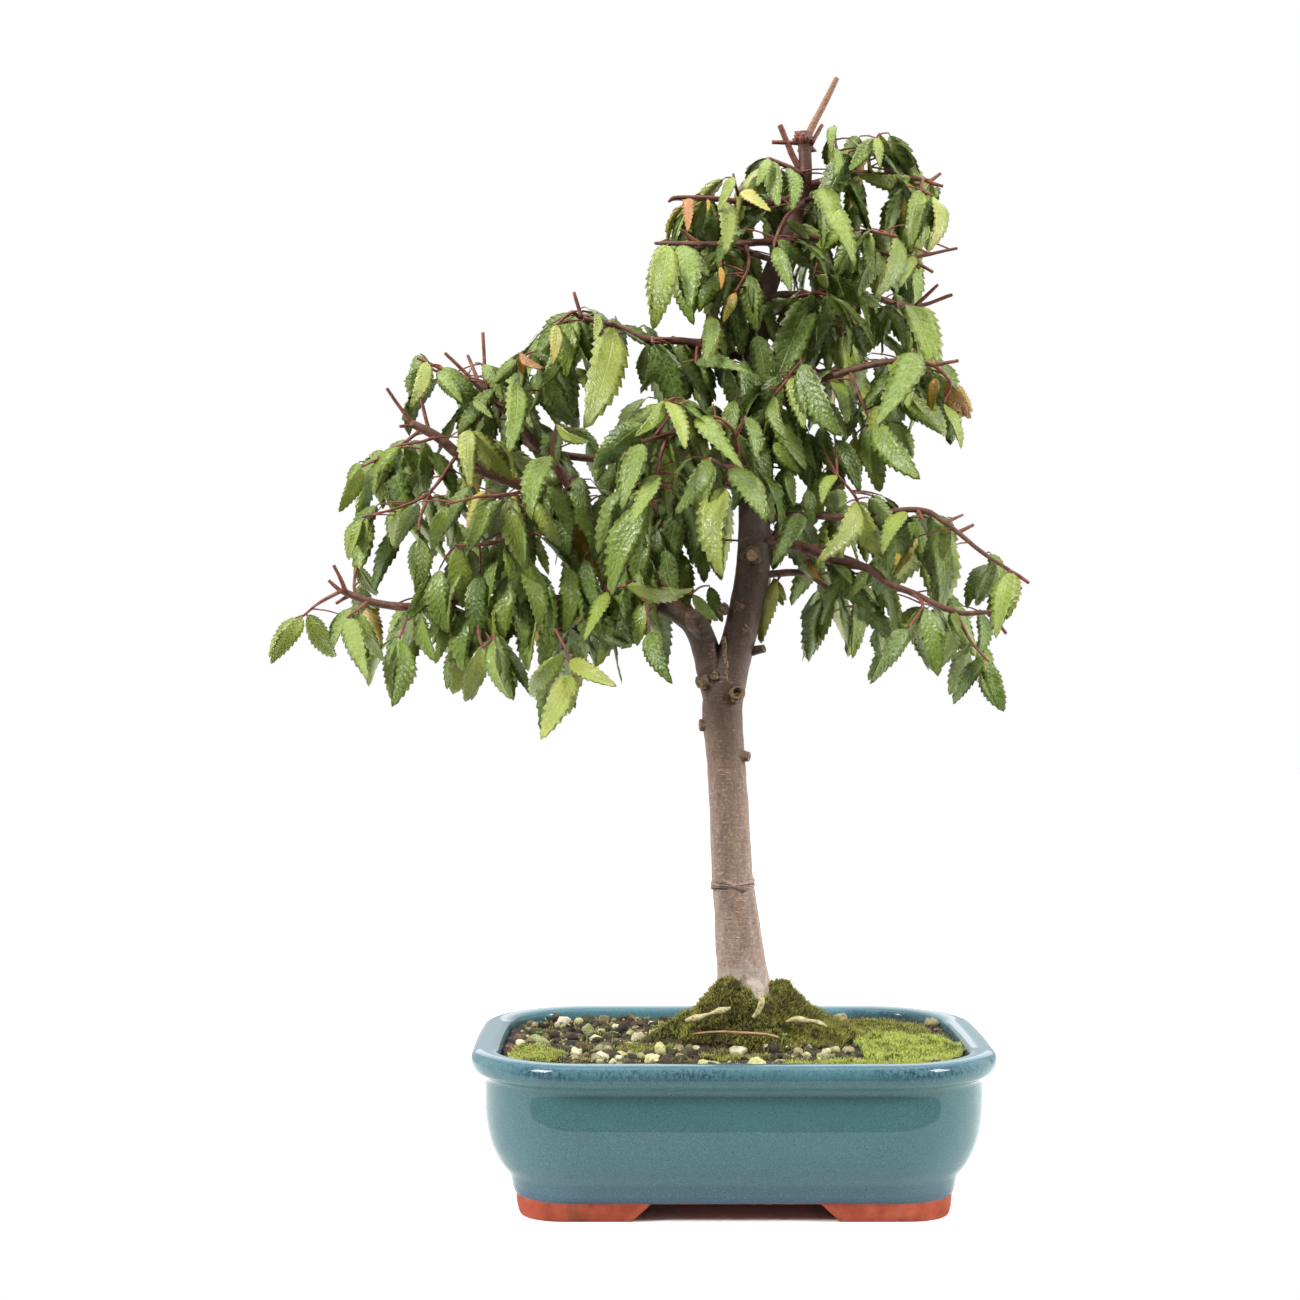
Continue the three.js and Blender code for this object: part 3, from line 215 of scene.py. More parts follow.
class Shader:
    # Short ways to add and join the nodes of one material
    def __init__(self, name):
        # A material with its Principled shader and its place in Object coordinates
        self.material = bpy.data.materials.new(name)
        self.material.use_nodes = True
        self.tree = self.material.node_tree
        self.surface = self.tree.nodes["Principled BSDF"]
        self.place = self.add("ShaderNodeTexCoord").outputs["Object"]

    def add(self, kind, **values):
        # A node of a kind, with its settings
        node = self.tree.nodes.new(kind)
        for key, value in values.items():
            setattr(node, key, value)
        return node

    def feed(self, socket, value):
        # A link where the value comes from a node, else the plain value on the socket
        if isinstance(value, bpy.types.NodeSocket):
            self.tree.links.new(value, socket)
        else:
            socket.default_value = value

    def stretch(self, scale):
        # Place times a scale along each axis
        node = self.add("ShaderNodeMapping")
        node.inputs["Scale"].default_value = scale
        self.feed(node.inputs["Vector"], self.place)
        return node.outputs["Vector"]

    def noise(self, scale, detail=3.0, rough=0.55, at=None):
        # Cloudy value from 0 to 1, mostly near a half
        node = self.add("ShaderNodeTexNoise")
        node.inputs["Scale"].default_value = scale
        node.inputs["Detail"].default_value = detail
        node.inputs["Roughness"].default_value = rough
        self.feed(node.inputs["Vector"], at or self.place)
        return node.outputs["Fac"]

    def cells(self, scale, at=None):
        # Distance to the nearest of scattered points, with a chance colour for each
        node = self.add("ShaderNodeTexVoronoi")
        node.inputs["Scale"].default_value = scale
        self.feed(node.inputs["Vector"], at or self.place)
        return node

    def ramp(self, value, stops):
        # Colour read off a list of places and colours
        node = self.add("ShaderNodeValToRGB")
        while len(node.color_ramp.elements) < len(stops):
            node.color_ramp.elements.new(0.5)
        for element, (spot, color) in zip(node.color_ramp.elements, stops):
            element.position = spot
            element.color = (*color, 1)
        self.feed(node.inputs["Fac"], value)
        return node.outputs["Color"]

    def math(self, how, a, b=0.0, clamp=False):
        # One sum, product or other step on two values
        node = self.add("ShaderNodeMath", operation=how, use_clamp=clamp)
        self.feed(node.inputs[0], a)
        self.feed(node.inputs[1], b)
        return node.outputs[0]

    def times(self, *factors):
        # Product of two or more values
        total = factors[0]
        for factor in factors[1:]:
            total = self.math("MULTIPLY", total, factor)
        return total

    def plus(self, *parts):
        # Sum of two or more values
        total = parts[0]
        for part in parts[1:]:
            total = self.math("ADD", total, part)
        return total

    def spread(self, value, low, high, outLow=0.0, outHigh=1.0):
        # Value carried from one range to another in a straight line, held at both ends
        node = self.add("ShaderNodeMapRange")
        self.feed(node.inputs["Value"], value)
        for key, number in (("From Min", low), ("From Max", high), ("To Min", outLow), ("To Max", outHigh)):
            node.inputs[key].default_value = number
        return node.outputs["Result"]

    def mix(self, share, a, b, blend="MIX"):
        # First colour at share 0, second at share 1
        node = self.add("ShaderNodeMix", data_type="RGBA", blend_type=blend)
        self.feed(node.inputs["Factor"], share)
        self.feed(node.inputs[6], a if isinstance(a, bpy.types.NodeSocket) else (*a, 1))
        self.feed(node.inputs[7], b if isinstance(b, bpy.types.NodeSocket) else (*b, 1))
        return node.outputs[2]

    def cover(self, value, low, high, most, under, over):
        # Second colour over the first, by a share that grows up to most while the value goes from low to high
        return self.mix(self.spread(value, low, high, 0, most), under, over)

    def parts(self, vector):
        # The three numbers of a vector
        node = self.add("ShaderNodeSeparateXYZ")
        self.feed(node.inputs[0], vector)
        return node.outputs

    def tint(self):
        # The three numbers that each piece keeps at its corners
        node = self.add("ShaderNodeVertexColor", layer_name="tint")
        split = self.add("ShaderNodeSeparateColor")
        self.feed(split.inputs[0], node.outputs["Color"])
        return split.outputs

    def bump(self, height, strength, distance):
        # Shading raised by a height, as a share of a distance in metres
        node = self.add("ShaderNodeBump")
        node.inputs["Strength"].default_value = strength
        node.inputs["Distance"].default_value = distance
        self.feed(node.inputs["Height"], height)
        self.feed(self.surface.inputs["Normal"], node.outputs["Normal"])

    def finish(self, color, rough, **sockets):
        # Colour, roughness and other plain values on the Principled shader
        self.feed(self.surface.inputs["Base Color"], color)
        self.feed(self.surface.inputs["Roughness"], rough)
        for key, value in sockets.items():
            self.surface.inputs[key.replace("_", " ")].default_value = value
        return self.material


# The camera stands level, in front of the tree
def placeCamera():
    # Level camera at the view point, aimed straight ahead along Y
    data = bpy.data.cameras.new("camera")
    data.lens = viewPoint["lens"]
    data.sensor_width = viewPoint["sensor"]
    data.clip_start = viewPoint["nearest"]
    camera = bpy.data.objects.new("camera", data)
    bpy.context.scene.collection.objects.link(camera)
    camera.location = np.array([viewPoint["x"], -viewPoint["distance"], viewPoint["z"]]) * mm + potMiddle
    camera.rotation_euler = (math.pi / 2, 0, 0)
    bpy.context.scene.camera = camera


# The table ends a hand's width in front of the pot, so the glaze above it reflects the dark room
studio = {
    "tableFront": -0.162, "tableBack": 3.0, "tableSide": 2.5, "tableColor": (0.93, 0.93, 0.93),
    "tableRough": 0.6,
    # The glow grows from the pot outwards, by an oval of these half widths in metres
    "tableGlow": 0.3, "glowHalf": (0.1, 0.072), "glowFrom": (0.5, 1.6),
    # The room is bright towards the back (Y) and the top (Z), by the way that is looked
    "white": 0.9, "dark": 0.03, "brightBack": (-0.4, 0.15), "brightTop": (0.35, 0.9), "aimHeight": 0.2,
}
lamps = [
    {"name": "softboxLeft", "at": (-0.95, -0.75, 1.05), "size": (0.42, 0.5), "power": 27.5},
    {"name": "softboxRight", "at": (1.15, -0.55, 0.95), "size": (0.38, 0.5), "power": 20.5},
    {"name": "sideLeft", "at": (-1.3, 0.25, 0.45), "size": (1.3, 1.0), "power": 5},
    {"name": "sideRight", "at": (1.3, 0.25, 0.45), "size": (1.3, 1.0), "power": 6},
    {"name": "overhead", "at": (0.0, 0.1, 1.6), "size": (1.4, 1.0), "power": 15},
    {"name": "backLight", "at": (0.1, 1.3, 0.9), "size": (1.6, 1.2), "power": 8},
]


def lightStudio():
    # Six soft boxes, and a room that is bright above and behind the tree and dark behind the camera
    for lamp in lamps:
        data = bpy.data.lights.new(lamp["name"], "AREA")
        data.shape = "RECTANGLE"
        data.size, data.size_y = lamp["size"]
        data.energy = lamp["power"]
        light = bpy.data.objects.new(lamp["name"], data)
        bpy.context.scene.collection.objects.link(light)
        at = np.array(lamp["at"])
        light.location = at
        aim = np.array([0.0, 0.0, studio["aimHeight"]]) - at
        light.rotation_euler = (
            math.acos(-aim[2] / np.linalg.norm(aim)), 0, math.atan2(aim[1], aim[0]) - math.pi / 2)
    world = bpy.data.worlds.new("studio")
    bpy.context.scene.world = world
    world.use_nodes = True
    nodes, links = world.node_tree.nodes, world.node_tree.links
    back = nodes["Background"]
    way = nodes.new("ShaderNodeTexCoord").outputs["Generated"]
    split = nodes.new("ShaderNodeSeparateXYZ")
    links.new(way, split.inputs[0])
    most = nodes.new("ShaderNodeMath")
    most.operation = "MAXIMUM"
    for k, (low, high) in enumerate((studio["brightBack"], studio["brightTop"])):
        rise = nodes.new("ShaderNodeMapRange")
        rise.inputs["From Min"].default_value = low
        rise.inputs["From Max"].default_value = high
        links.new(split.outputs[k + 1], rise.inputs["Value"])
        links.new(rise.outputs[0], most.inputs[k])
    shade = nodes.new("ShaderNodeMapRange")
    shade.inputs["To Min"].default_value = studio["dark"]
    shade.inputs["To Max"].default_value = studio["white"]
    links.new(most.outputs[0], shade.inputs["Value"])
    seen = nodes.new("ShaderNodeMath")
    seen.operation = "MAXIMUM"
    links.new(nodes.new("ShaderNodeLightPath").outputs["Is Camera Ray"], seen.inputs[0])
    links.new(shade.outputs[0], seen.inputs[1])
    back.inputs["Color"].default_value = (1, 1, 1, 1)
    links.new(seen.outputs[0], back.inputs["Strength"])
    scene = bpy.context.scene
    scene.view_settings.view_transform = "Standard"
    scene.view_settings.look = "None"


def layFloor():
    # A plain flat table, lit a little from within so that it stays as white as the backdrop
    side, front, back = studio["tableSide"], studio["tableFront"], studio["tableBack"]
    mesh = bpy.data.meshes.new("floor")
    corners = [(-side, front, 0), (side, front, 0), (side, back, 0), (-side, back, 0)]
    mesh.from_pydata(corners, [], [(0, 1, 2, 3)])
    shader = Shader("paleTable")
    spans = [shader.math("DIVIDE", shader.math("SUBTRACT", place, middle), half)
             for place, middle, half in zip(shader.parts(shader.place), potMiddle, studio["glowHalf"])]
    away = shader.plus(*[shader.math("POWER", shader.math("ABSOLUTE", span), 4) for span in spans])
    glow = shader.spread(away, *studio["glowFrom"], 0, studio["tableGlow"])
    shader.surface.inputs["Emission Color"].default_value = (1, 1, 1, 1)
    shader.feed(shader.surface.inputs["Emission Strength"], glow)
    mesh.materials.append(shader.finish((*studio["tableColor"], 1), studio["tableRough"]))
    floor = bpy.data.objects.new("floor", mesh)
    bpy.context.scene.collection.objects.link(floor)


placeCamera()
lightStudio()
layFloor()
print("camera, lights and floor made")


# The pot: inset from the rim's widest line and height, up the outside, over the rim and down the inside
pot = {
    "width": 202.4, "depth": 151.0, "corner": 43.0, "sharpFrom": 16.5, "sharper": 2.5, "leastCorner": 12.0,
    "bow": 0.032, "footHeight": 7.0,
    "outside": [(19.9, 0), (19.2, 0.5), (18.3, 3), (17.9, 6.8), (16.9, 7.9), (16.3, 9.5), (15.9, 11.5),
                (14.8, 14.2), (11, 19), (7.7, 26), (5.9, 34), (5.4, 38), (5.3, 42), (5.25, 46), (5.1, 49),
                (4.6, 50.6), (3.4, 51.9), (1.8, 53), (0.6, 54.5), (0, 56.6), (0.4, 58.6), (1.6, 60.2),
                (3.6, 61), (6.4, 61), (9.0, 60.6), (10.8, 59.5), (11.5, 57.6), (11.9, 54)],
    "inside": [(12.8, 42), (15, 26), (17.5, 20), (21.5, 15.5), (27, 13.7)],
    "columns": 208, "perPart": 5, "crease": 32,
    "recessInset": 27.0, "channel": (31.5, 39.0), "sideChannel": (20.0, 27.0), "channelReach": 120,
    "drainRadius": 9.0, "drainX": 40.0, "drainLow": -5, "drainHigh": 30, "drainSides": 48,
}


def roundedPlan(inset, columns=None):
    # Points round a rounded rectangle, evenly spaced along its edge: straight runs and quarter circles
    inset = np.atleast_1d(inset).astype(float)[:, None]
    halfX, halfY = pot["width"] / 2 - inset, pot["depth"] / 2 - inset
    sharper = pot["sharper"] * np.maximum(inset - pot["sharpFrom"], 0)
    radius = np.maximum(pot["corner"] - inset - sharper, pot["leastCorner"])
    runX, runY, arc = 2 * (halfX - radius), 2 * (halfY - radius), radius * math.pi / 2
    count = columns or pot["columns"]
    share = (np.arange(count) + 0.5)[None, :] / count
    s = share * (2 * runX + 2 * runY + 4 * arc)
    x, y = np.zeros_like(s), np.zeros_like(s)
    start = np.zeros_like(inset)
    for k in range(4):
        turn = k * math.pi / 2
        run = (runY, runX)[k % 2]
        outward = np.array([math.cos(turn), math.sin(turn)])
        ahead = np.array([-outward[1], outward[0]])
        reach = (halfX, halfY)[k % 2]
        inRun = (s >= start) & (s < start + run)
        step = s - start - run / 2
        x = np.where(inRun, outward[0] * reach + ahead[0] * step, x)
        y = np.where(inRun, outward[1] * reach + ahead[1] * step, y)
        inArc = (s >= start + run) & (s < start + run + arc)
        angle = turn + (s - start - run) / radius
        cx = (outward[0] * reach + ahead[0] * run / 2) - outward[0] * radius
        cy = (outward[1] * reach + ahead[1] * run / 2) - outward[1] * radius
        x = np.where(inArc, cx + np.cos(angle) * radius, x)
        y = np.where(inArc, cy + np.sin(angle) * radius, y)
        start = start + run + arc
    return x * (1 - pot["bow"] * (2 * y / pot["depth"]) ** 2), y


def planRings(profile, columns=None):
    # Rounded-rectangle rings stacked along a profile of inset and height
    profile = np.asarray(profile, float)
    x, y = roundedPlan(profile[:, 0], columns)
    z = np.broadcast_to(profile[:, 1][:, None], x.shape)
    return np.stack([x, y, z], -1)


def cutterObject(name, part):
    # A plain closed mesh that is only cut away, and removed afterwards
    mesh = bpy.data.meshes.new(name)
    verts = part["verts"] * mm + potMiddle
    mesh.from_pydata(verts.tolist(), [], part["quads"].tolist() + part["tris"].tolist())
    cutter = bpy.data.objects.new(name, mesh)
    bpy.context.scene.collection.objects.link(cutter)
    return cutter


def channelPart(top, floor, alongX):
    # Trapezium channel, wider at the floor: four corners carried straight through
    high = pot["footHeight"]
    corner = np.array([[-floor - 1, -1], [floor + 1, -1], [top, high], [-top, high]])
    reach = pot["channelReach"]
    rings = np.stack([np.column_stack([corner[:, 0], np.full(4, y), corner[:, 1]]) for y in (reach, -reach)])
    if alongX:
        rings = np.stack([-rings[..., 1], rings[..., 0], rings[..., 2]], -1)
    return ringSkin(rings)


def drainPart(x):
    # Upright round bar through the floor, as two rings of points
    angle = around(pot["drainSides"])
    wide = pot["drainRadius"]
    ring = np.stack([x + np.cos(angle) * wide, np.sin(angle) * wide, angle * 0], -1)
    return ringSkin(np.stack([ring + [0, 0, pot["drainLow"]], ring + [0, 0, pot["drainHigh"]]]))


def glazeMaterial():
    # Teal by height, mottled, with navy streaks at the rim and dark specks; bare clay below the glaze line
    shader = Shader("tealGlazeAndTerracotta")
    x, y, z = shader.parts(shader.place)
    broad = shader.noise(28, 4, 0.6)
    fine = shader.noise(900, 2, 0.6)
    teal = shader.ramp(shader.spread(z, 0.007, 0.061), [
        (0.0, (0.03, 0.055, 0.1)), (0.06, (0.057, 0.1, 0.142)), (0.13, (0.056, 0.116, 0.135)),
        (0.4, (0.058, 0.126, 0.138)), (0.7, (0.06, 0.136, 0.141)), (0.83, (0.062, 0.134, 0.138)),
        (0.93, (0.068, 0.168, 0.19)), (1.0, (0.085, 0.18, 0.225))])
    teal = shader.cover(broad, 0.35, 0.7, 0.35, teal, (0.045, 0.1, 0.112))
    streaks = shader.noise(1.0, 6, 0.75, shader.stretch((850, 850, 380)))
    band = shader.times(shader.spread(z, 0.0545, 0.0575), shader.spread(z, 0.0592, 0.0606, 1, 0.25))
    far = [shader.math("POWER", shader.times(shader.math("ABSOLUTE", c), 1 / half), 4.0)
           for c, half in ((x, 0.1), (y, 0.075))]
    band = shader.times(band, shader.spread(shader.plus(*far), 0.72, 0.82))
    band = shader.times(band, shader.spread(shader.noise(32, 3), 0.42, 0.55, 0.25, 1))
    navy = shader.times(shader.spread(streaks, 0.45, 0.57), band)
    teal = shader.mix(shader.times(navy, 0.9), teal, (0.013, 0.02, 0.055))
    # Painted sheen: a faint pale lavender cast on the rim's top, in patches
    lavenderSheen = shader.times(shader.spread(shader.noise(34, 3), 0.52, 0.68), shader.spread(z, 0.053, 0.0575))
    teal = shader.mix(shader.times(lavenderSheen, 0.12), teal, (0.25, 0.28, 0.4))
    specks = shader.cells(1.0, shader.stretch((1000, 1000, 700)))
    dark = shader.spread(specks.outputs["Distance"], 0.12, 0.25, 0.8, 0)
    dark = shader.times(dark, shader.spread(shader.noise(480, 2), 0.48, 0.6))
    teal = shader.mix(dark, teal, (0.012, 0.022, 0.02))
    teal = shader.cover(fine, 0.55, 0.75, 0.3, teal, (0.09, 0.19, 0.19))
    grains = shader.noise(1900, 3, 0.7)
    teal = shader.mix(shader.spread(grains, 0.4, 0.6, 0.4, 0), teal, (0.03, 0.075, 0.08))
    teal = shader.cover(grains, 0.55, 0.7, 0.4, teal, (0.12, 0.21, 0.2))
    clay = shader.ramp(shader.noise(160, 5, 0.6), [
        (0.25, (0.19, 0.032, 0.015)), (0.5, (0.29, 0.055, 0.027)), (0.78, (0.37, 0.095, 0.048))])
    clay = shader.cover(shader.noise(90, 4), 0.54, 0.68, 0.5, clay, (0.07, 0.04, 0.014))
    wavy = shader.plus(z, shader.spread(shader.noise(60, 3), 0, 1, -0.0006, 0.0006))
    glazed = shader.spread(wavy, 0.0069, 0.0074)
    color = shader.mix(glazed, clay, teal)
    rough = shader.spread(glazed, 0, 1, 0.78, 0.055)
    ripples = shader.plus(shader.times(broad, 0.5), shader.times(fine, 0.05))
    grain = shader.times(shader.noise(1400, 2), shader.spread(glazed, 0, 1, 0.6, 0.03))
    shader.bump(shader.plus(ripples, grain), 0.16, 0.0005)
    return shader.finish(color, rough, IOR=1.3)


def makePot():
    # The profile swept round the plan, less the recess, the channels between the feet and the drain holes
    outside = smoothLine(pot["outside"], pot["perPart"])
    inside = smoothLine(pot["inside"], pot["perPart"])
    body = makePiece("potBody", [ringSkin(planRings(np.concatenate([outside, inside])))],
                     glazeMaterial(), ["pot"])
    recess = ringSkin(planRings([(pot["recessInset"], -1), (pot["recessInset"], pot["footHeight"])]))
    cuts = [recess, channelPart(*pot["channel"], False), channelPart(*pot["sideChannel"], True)]
    cuts += [drainPart(x) for x in (-pot["drainX"], pot["drainX"])]
    cutters = [cutterObject("cutter%d" % k, part) for k, part in enumerate(cuts)]
    for cutter in cutters:
        cut = body.modifiers.new("cut", "BOOLEAN")
        cut.operation = "DIFFERENCE"
        cut.solver = "EXACT"
        cut.object = cutter
    graph = bpy.context.evaluated_depsgraph_get()
    shape = bpy.data.meshes.new_from_object(body.evaluated_get(graph))
    body.modifiers.clear()
    body.data = shape
    shape.set_sharp_from_angle(angle=math.radians(pot["crease"]))
    for cutter in cutters:
        bpy.data.objects.remove(cutter)


makePot()
print("pot made")


# The plastic screens keep the CAD shape, and get their own finish
def screenMaterial():
    # Near black plastic
    shader = Shader("blackPlasticMesh")
    shader.bump(shader.noise(900, 2), 0.3, 0.0003)
    color = shader.ramp(shader.noise(300), [(0.3, (0.012, 0.012, 0.012)), (0.7, (0.03, 0.03, 0.028))])
    return shader.finish(color, 0.55)


for name in ("drain_screen_left", "drain_screen_right"):
    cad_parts[name].data.materials.clear()
    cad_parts[name].data.materials.append(screenMaterial())


# Soil bed, the mound at the trunk, moss patches and pebbles
soil = {
    "top": 56.6, "wallGap": 0.5, "wallRise": 0.35, "heart": (7.0, 1.0), "heartShare": 0.02, "rings": 70,
    "columns": 208,
    # Lumps: height, size and seed of each
    "lumps": [(0.45, 5.5, 3), (0.3, 2.3, 4)],
    # Humps: x, y, half width, half depth and height
    "humps": [(0, 4, 11, 14, 12.5), (23, 5, 10, 14, 12), (9, 3, 25, 22, 8)],
}
# Moss, an oval patch each. Its tone runs from 0, olive, to 1, pale green. Its high and thin are the height
# and the foot radius of its tufts in mm. A hump is x, y, half width, half depth and height.
mossKeys = ("name", "x", "y", "wide", "deep", "thick", "tufts", "tone", "high", "thin", "humps")
moundHumps = [(0.5, -12, 11, 8, 12.5), (-17, -6, 20, 13, 9), (12, -17, 8, 8, 9), (17, -2, 8, 9, 8),
              (41, 0, 13, 13, 6.5), (4, 14, 16, 9, 8)]
mossPatches = [dict(zip(mossKeys, row)) for row in (
    ("mossMound", 12, -2, 42, 22, 1.0, 17000, 0.12, (1.2, 3.0), 0.27, moundHumps),
    ("mossFrontRight", 68, -22, 21, 36, 2.6, 9000, 0.9, (1.2, 3.0), 0.3, ()),
    ("mossFrontLeft", -76, -30, 11, 18, 1.6, 1700, 0.8, (1.0, 2.6), 0.3, ()),
    ("mossBackRight", 58, 36, 24, 18, 1.2, 3000, 0.3, (1.0, 2.4), 0.3, ()),
    ("mossMiddleRight", 38, -53, 20, 7, 1.6, 2600, 0.75, (1.0, 2.6), 0.3, ()),
    ("mossMiddle", 2, -36, 13, 4, 0.7, 700, 0.3, (1.0, 2.4), 0.3, ()),
    ("mossLeft", -34, -16, 13, 7, 0.6, 700, 0.25, (1.0, 2.6), 0.3, ()),
)]
pebbles = {
    "count": 2000, "least": 0.45, "most": 3.3, "area": (172, 122), "inside": (87, 61), "sunk": 0.2,
    "squash": (0.75, 0.35),
    # The stones that catch the eye: x, y, size and tone
    "chosen": [
        (8, -56, 4.0, 0.9), (-12, -55, 2.8, 0.84), (-30, 16, 3.0, 0.9), (13, -25, 2.4, 0.97),
        (-31, -40, 3.5, 0.92),
        (-57, 24, 3.2, 0.76), (-40, 20, 2.7, 0.86), (-26, -56, 2.4, 0.96), (9.5, -23, 2.0, 0.95),
        (34, -33, 2.6, 0.8),
        (52, 8, 2.2, 0.99), (-74, -8, 3.4, 0.78), (-28, -24, 3.2, 0.88), (-14, -20, 1.9, 0.97),
        (36, -24, 2.2, 0.95),
        (28, -30, 2.1, 0.86), (-77, 4, 3.0, 0.8)],
}


def soilHeight(x, y, rough=1.0):
    # A near level bed, plus a bell-shaped hump for each entry, plus small lumps
    z = soil["top"] + 0.7 * np.sin(x * 0.23 + 1) * np.cos(y * 0.29) + 0.4 * np.sin(x * 0.61 + y * 0.47)
    for middleX, middleY, wide, deep, high in soil["humps"]:
        z = z + high * np.exp(-((x - middleX) / wide) ** 2 - ((y - middleY) / deep) ** 2)
    flat = np.stack([x, y, np.zeros_like(x)], -1)
    return z + rough * sum(high * ripple(flat, size, seed) for high, size, seed in soil["lumps"])


def soilMaterial():
    # Grains as chance cells from black to straw colour, with some moss green
    shader = Shader("pottingGrit")
    grains = shader.cells(520)
    color = shader.ramp(grains.outputs["Color"], [
        (0.1, (0.012, 0.007, 0.004)), (0.5, (0.032, 0.018, 0.009)), (0.78, (0.085, 0.048, 0.025)),
        (0.95, (0.22, 0.16, 0.09))])
    color = shader.cover(shader.noise(70, 4), 0.5, 0.7, 0.5, color, (0.045, 0.05, 0.012))
    shader.bump(shader.plus(grains.outputs["Distance"], shader.noise(900, 3)), 0.9, 0.0009)
    return shader.finish(color, 0.93)


def makeSoil():
    # Rings down the wall of the pot, then rings that shrink to the heart of the soil at its height
    inside = [(inset + soil["wallGap"], z + soil["wallRise"]) for inset, z in reversed(pot["inside"])]
    edge = pot["outside"][-2][0] + soil["wallGap"]
    wall = planRings(inside, soil["columns"])
    rimX, rimY = roundedPlan(edge, soil["columns"])
    share = np.linspace(1, soil["heartShare"], soil["rings"])[:, None]
    x = soil["heart"][0] + (rimX - soil["heart"][0]) * share
    y = soil["heart"][1] + (rimY - soil["heart"][1]) * share
    top = np.stack([x, y, soilHeight(x, y)], -1)
    makePiece("soilBed", [ringSkin(np.concatenate([wall, top]))], soilMaterial(), ["soil"])


def roundStone():
    # Twelve corners of an icosahedron, each face parted in four and pushed out to the sphere
    golden = (1 + math.sqrt(5)) / 2
    verts = np.array([(-1, golden, 0), (1, golden, 0), (-1, -golden, 0), (1, -golden, 0),
                      (0, -1, golden), (0, 1, golden), (0, -1, -golden), (0, 1, -golden),
                      (golden, 0, -1), (golden, 0, 1), (-golden, 0, -1), (-golden, 0, 1)])
    faces = np.array([(0, 11, 5), (0, 5, 1), (0, 1, 7), (0, 7, 10), (0, 10, 11),
                      (1, 5, 9), (5, 11, 4), (11, 10, 2), (10, 7, 6), (7, 1, 8),
                      (3, 9, 4), (3, 4, 2), (3, 2, 6), (3, 6, 8), (3, 8, 9),
                      (4, 9, 5), (2, 4, 11), (6, 2, 10), (8, 6, 7), (9, 8, 1)])
    edges = np.sort(np.concatenate([faces[:, [0, 1]], faces[:, [1, 2]], faces[:, [2, 0]]]), axis=1)
    pairs, where = np.unique(edges, axis=0, return_inverse=True)
    where = where.ravel()
    middle = verts[pairs].mean(1)
    ab, bc, ca = (len(verts) + where[k * 20:(k + 1) * 20] for k in range(3))
    a, b, c = faces.T
    split = np.concatenate([np.stack(t, -1) for t in ((a, ab, ca), (b, bc, ab), (c, ca, bc), (ab, bc, ca))])
    return unit(np.concatenate([verts, middle])), split


def stones(x, y, z, size, squash, seed, tone):
    # Many uneven stones at once: one round stone, stretched, dented and turned for each place
    verts, tris = roundStone()
    n = len(x)
    k = np.arange(n)[:, None]
    corner = np.arange(len(verts))[None, :]
    dent = 0.68 + 0.5 * draw(k + seed, corner, 31)
    shape = verts[None] * dent[..., None]
    shape = shape * np.stack([np.ones(n), squash, 0.65 + 0.2 * draw(k[:, 0], 5, seed)], -1)[:, None]
    turn = 6.28 * draw(k[:, 0], 6, seed)
    c, s = np.cos(turn)[:, None], np.sin(turn)[:, None]
    place = np.stack([shape[..., 0] * c - shape[..., 1] * s, shape[..., 0] * s + shape[..., 1] * c,
                      shape[..., 2]], -1)
    place = place * size[:, None, None] + np.stack([x, y, z], -1)[:, None]
    faces = (tris[None] + (np.arange(n) * len(verts))[:, None, None]).reshape(-1, 3)
    tint = np.repeat(np.stack([tone, tone * 0, tone * 0, tone * 0 + 1], -1), len(verts), axis=0)
    return {"verts": place.reshape(-1, 3), "quads": np.zeros((0, 4), int), "tris": faces, "tint": tint}


def pebbleMaterial():
    # A colour by chance for each stone, from black over red-brown and sage to straw, dirtied by noise
    shader = Shader("mixedPebbles")
    tone = shader.tint()
    color = shader.ramp(tone[0], [
        (0.0, (0.012, 0.008, 0.006)), (0.34, (0.035, 0.022, 0.013)), (0.46, (0.1, 0.038, 0.022)),
        (0.52, (0.12, 0.1, 0.045)),
        (0.66, (0.34, 0.28, 0.15)), (0.78, (0.28, 0.3, 0.15)), (0.88, (0.52, 0.5, 0.2)),
        (1.0, (0.64, 0.58, 0.42))])
    color = shader.cover(shader.noise(600, 4), 0.5, 0.72, 0.7, color, (0.05, 0.04, 0.018))
    color = shader.cover(shader.noise(130, 3), 0.52, 0.66, 0.45, color, (0.09, 0.11, 0.02))
    shader.bump(shader.noise(1100, 4), 0.7, 0.0005)
    return shader.finish(color, 0.85)


def insideMoss(x, y):
    # Above 0 inside the oval of any moss patch, 1 at its middle
    return np.max([1.0 - ((x - m["x"]) / m["wide"]) ** 2
                   - ((y - m["y"]) / m["deep"]) ** 2 for m in mossPatches], axis=0)


def withinRim(x, y, half):
    # Whether places lie inside an oval near to a rectangle, of the given half width and half depth
    return (np.abs(x) / half[0]) ** 5 + (np.abs(y) / half[1]) ** 5 < 1


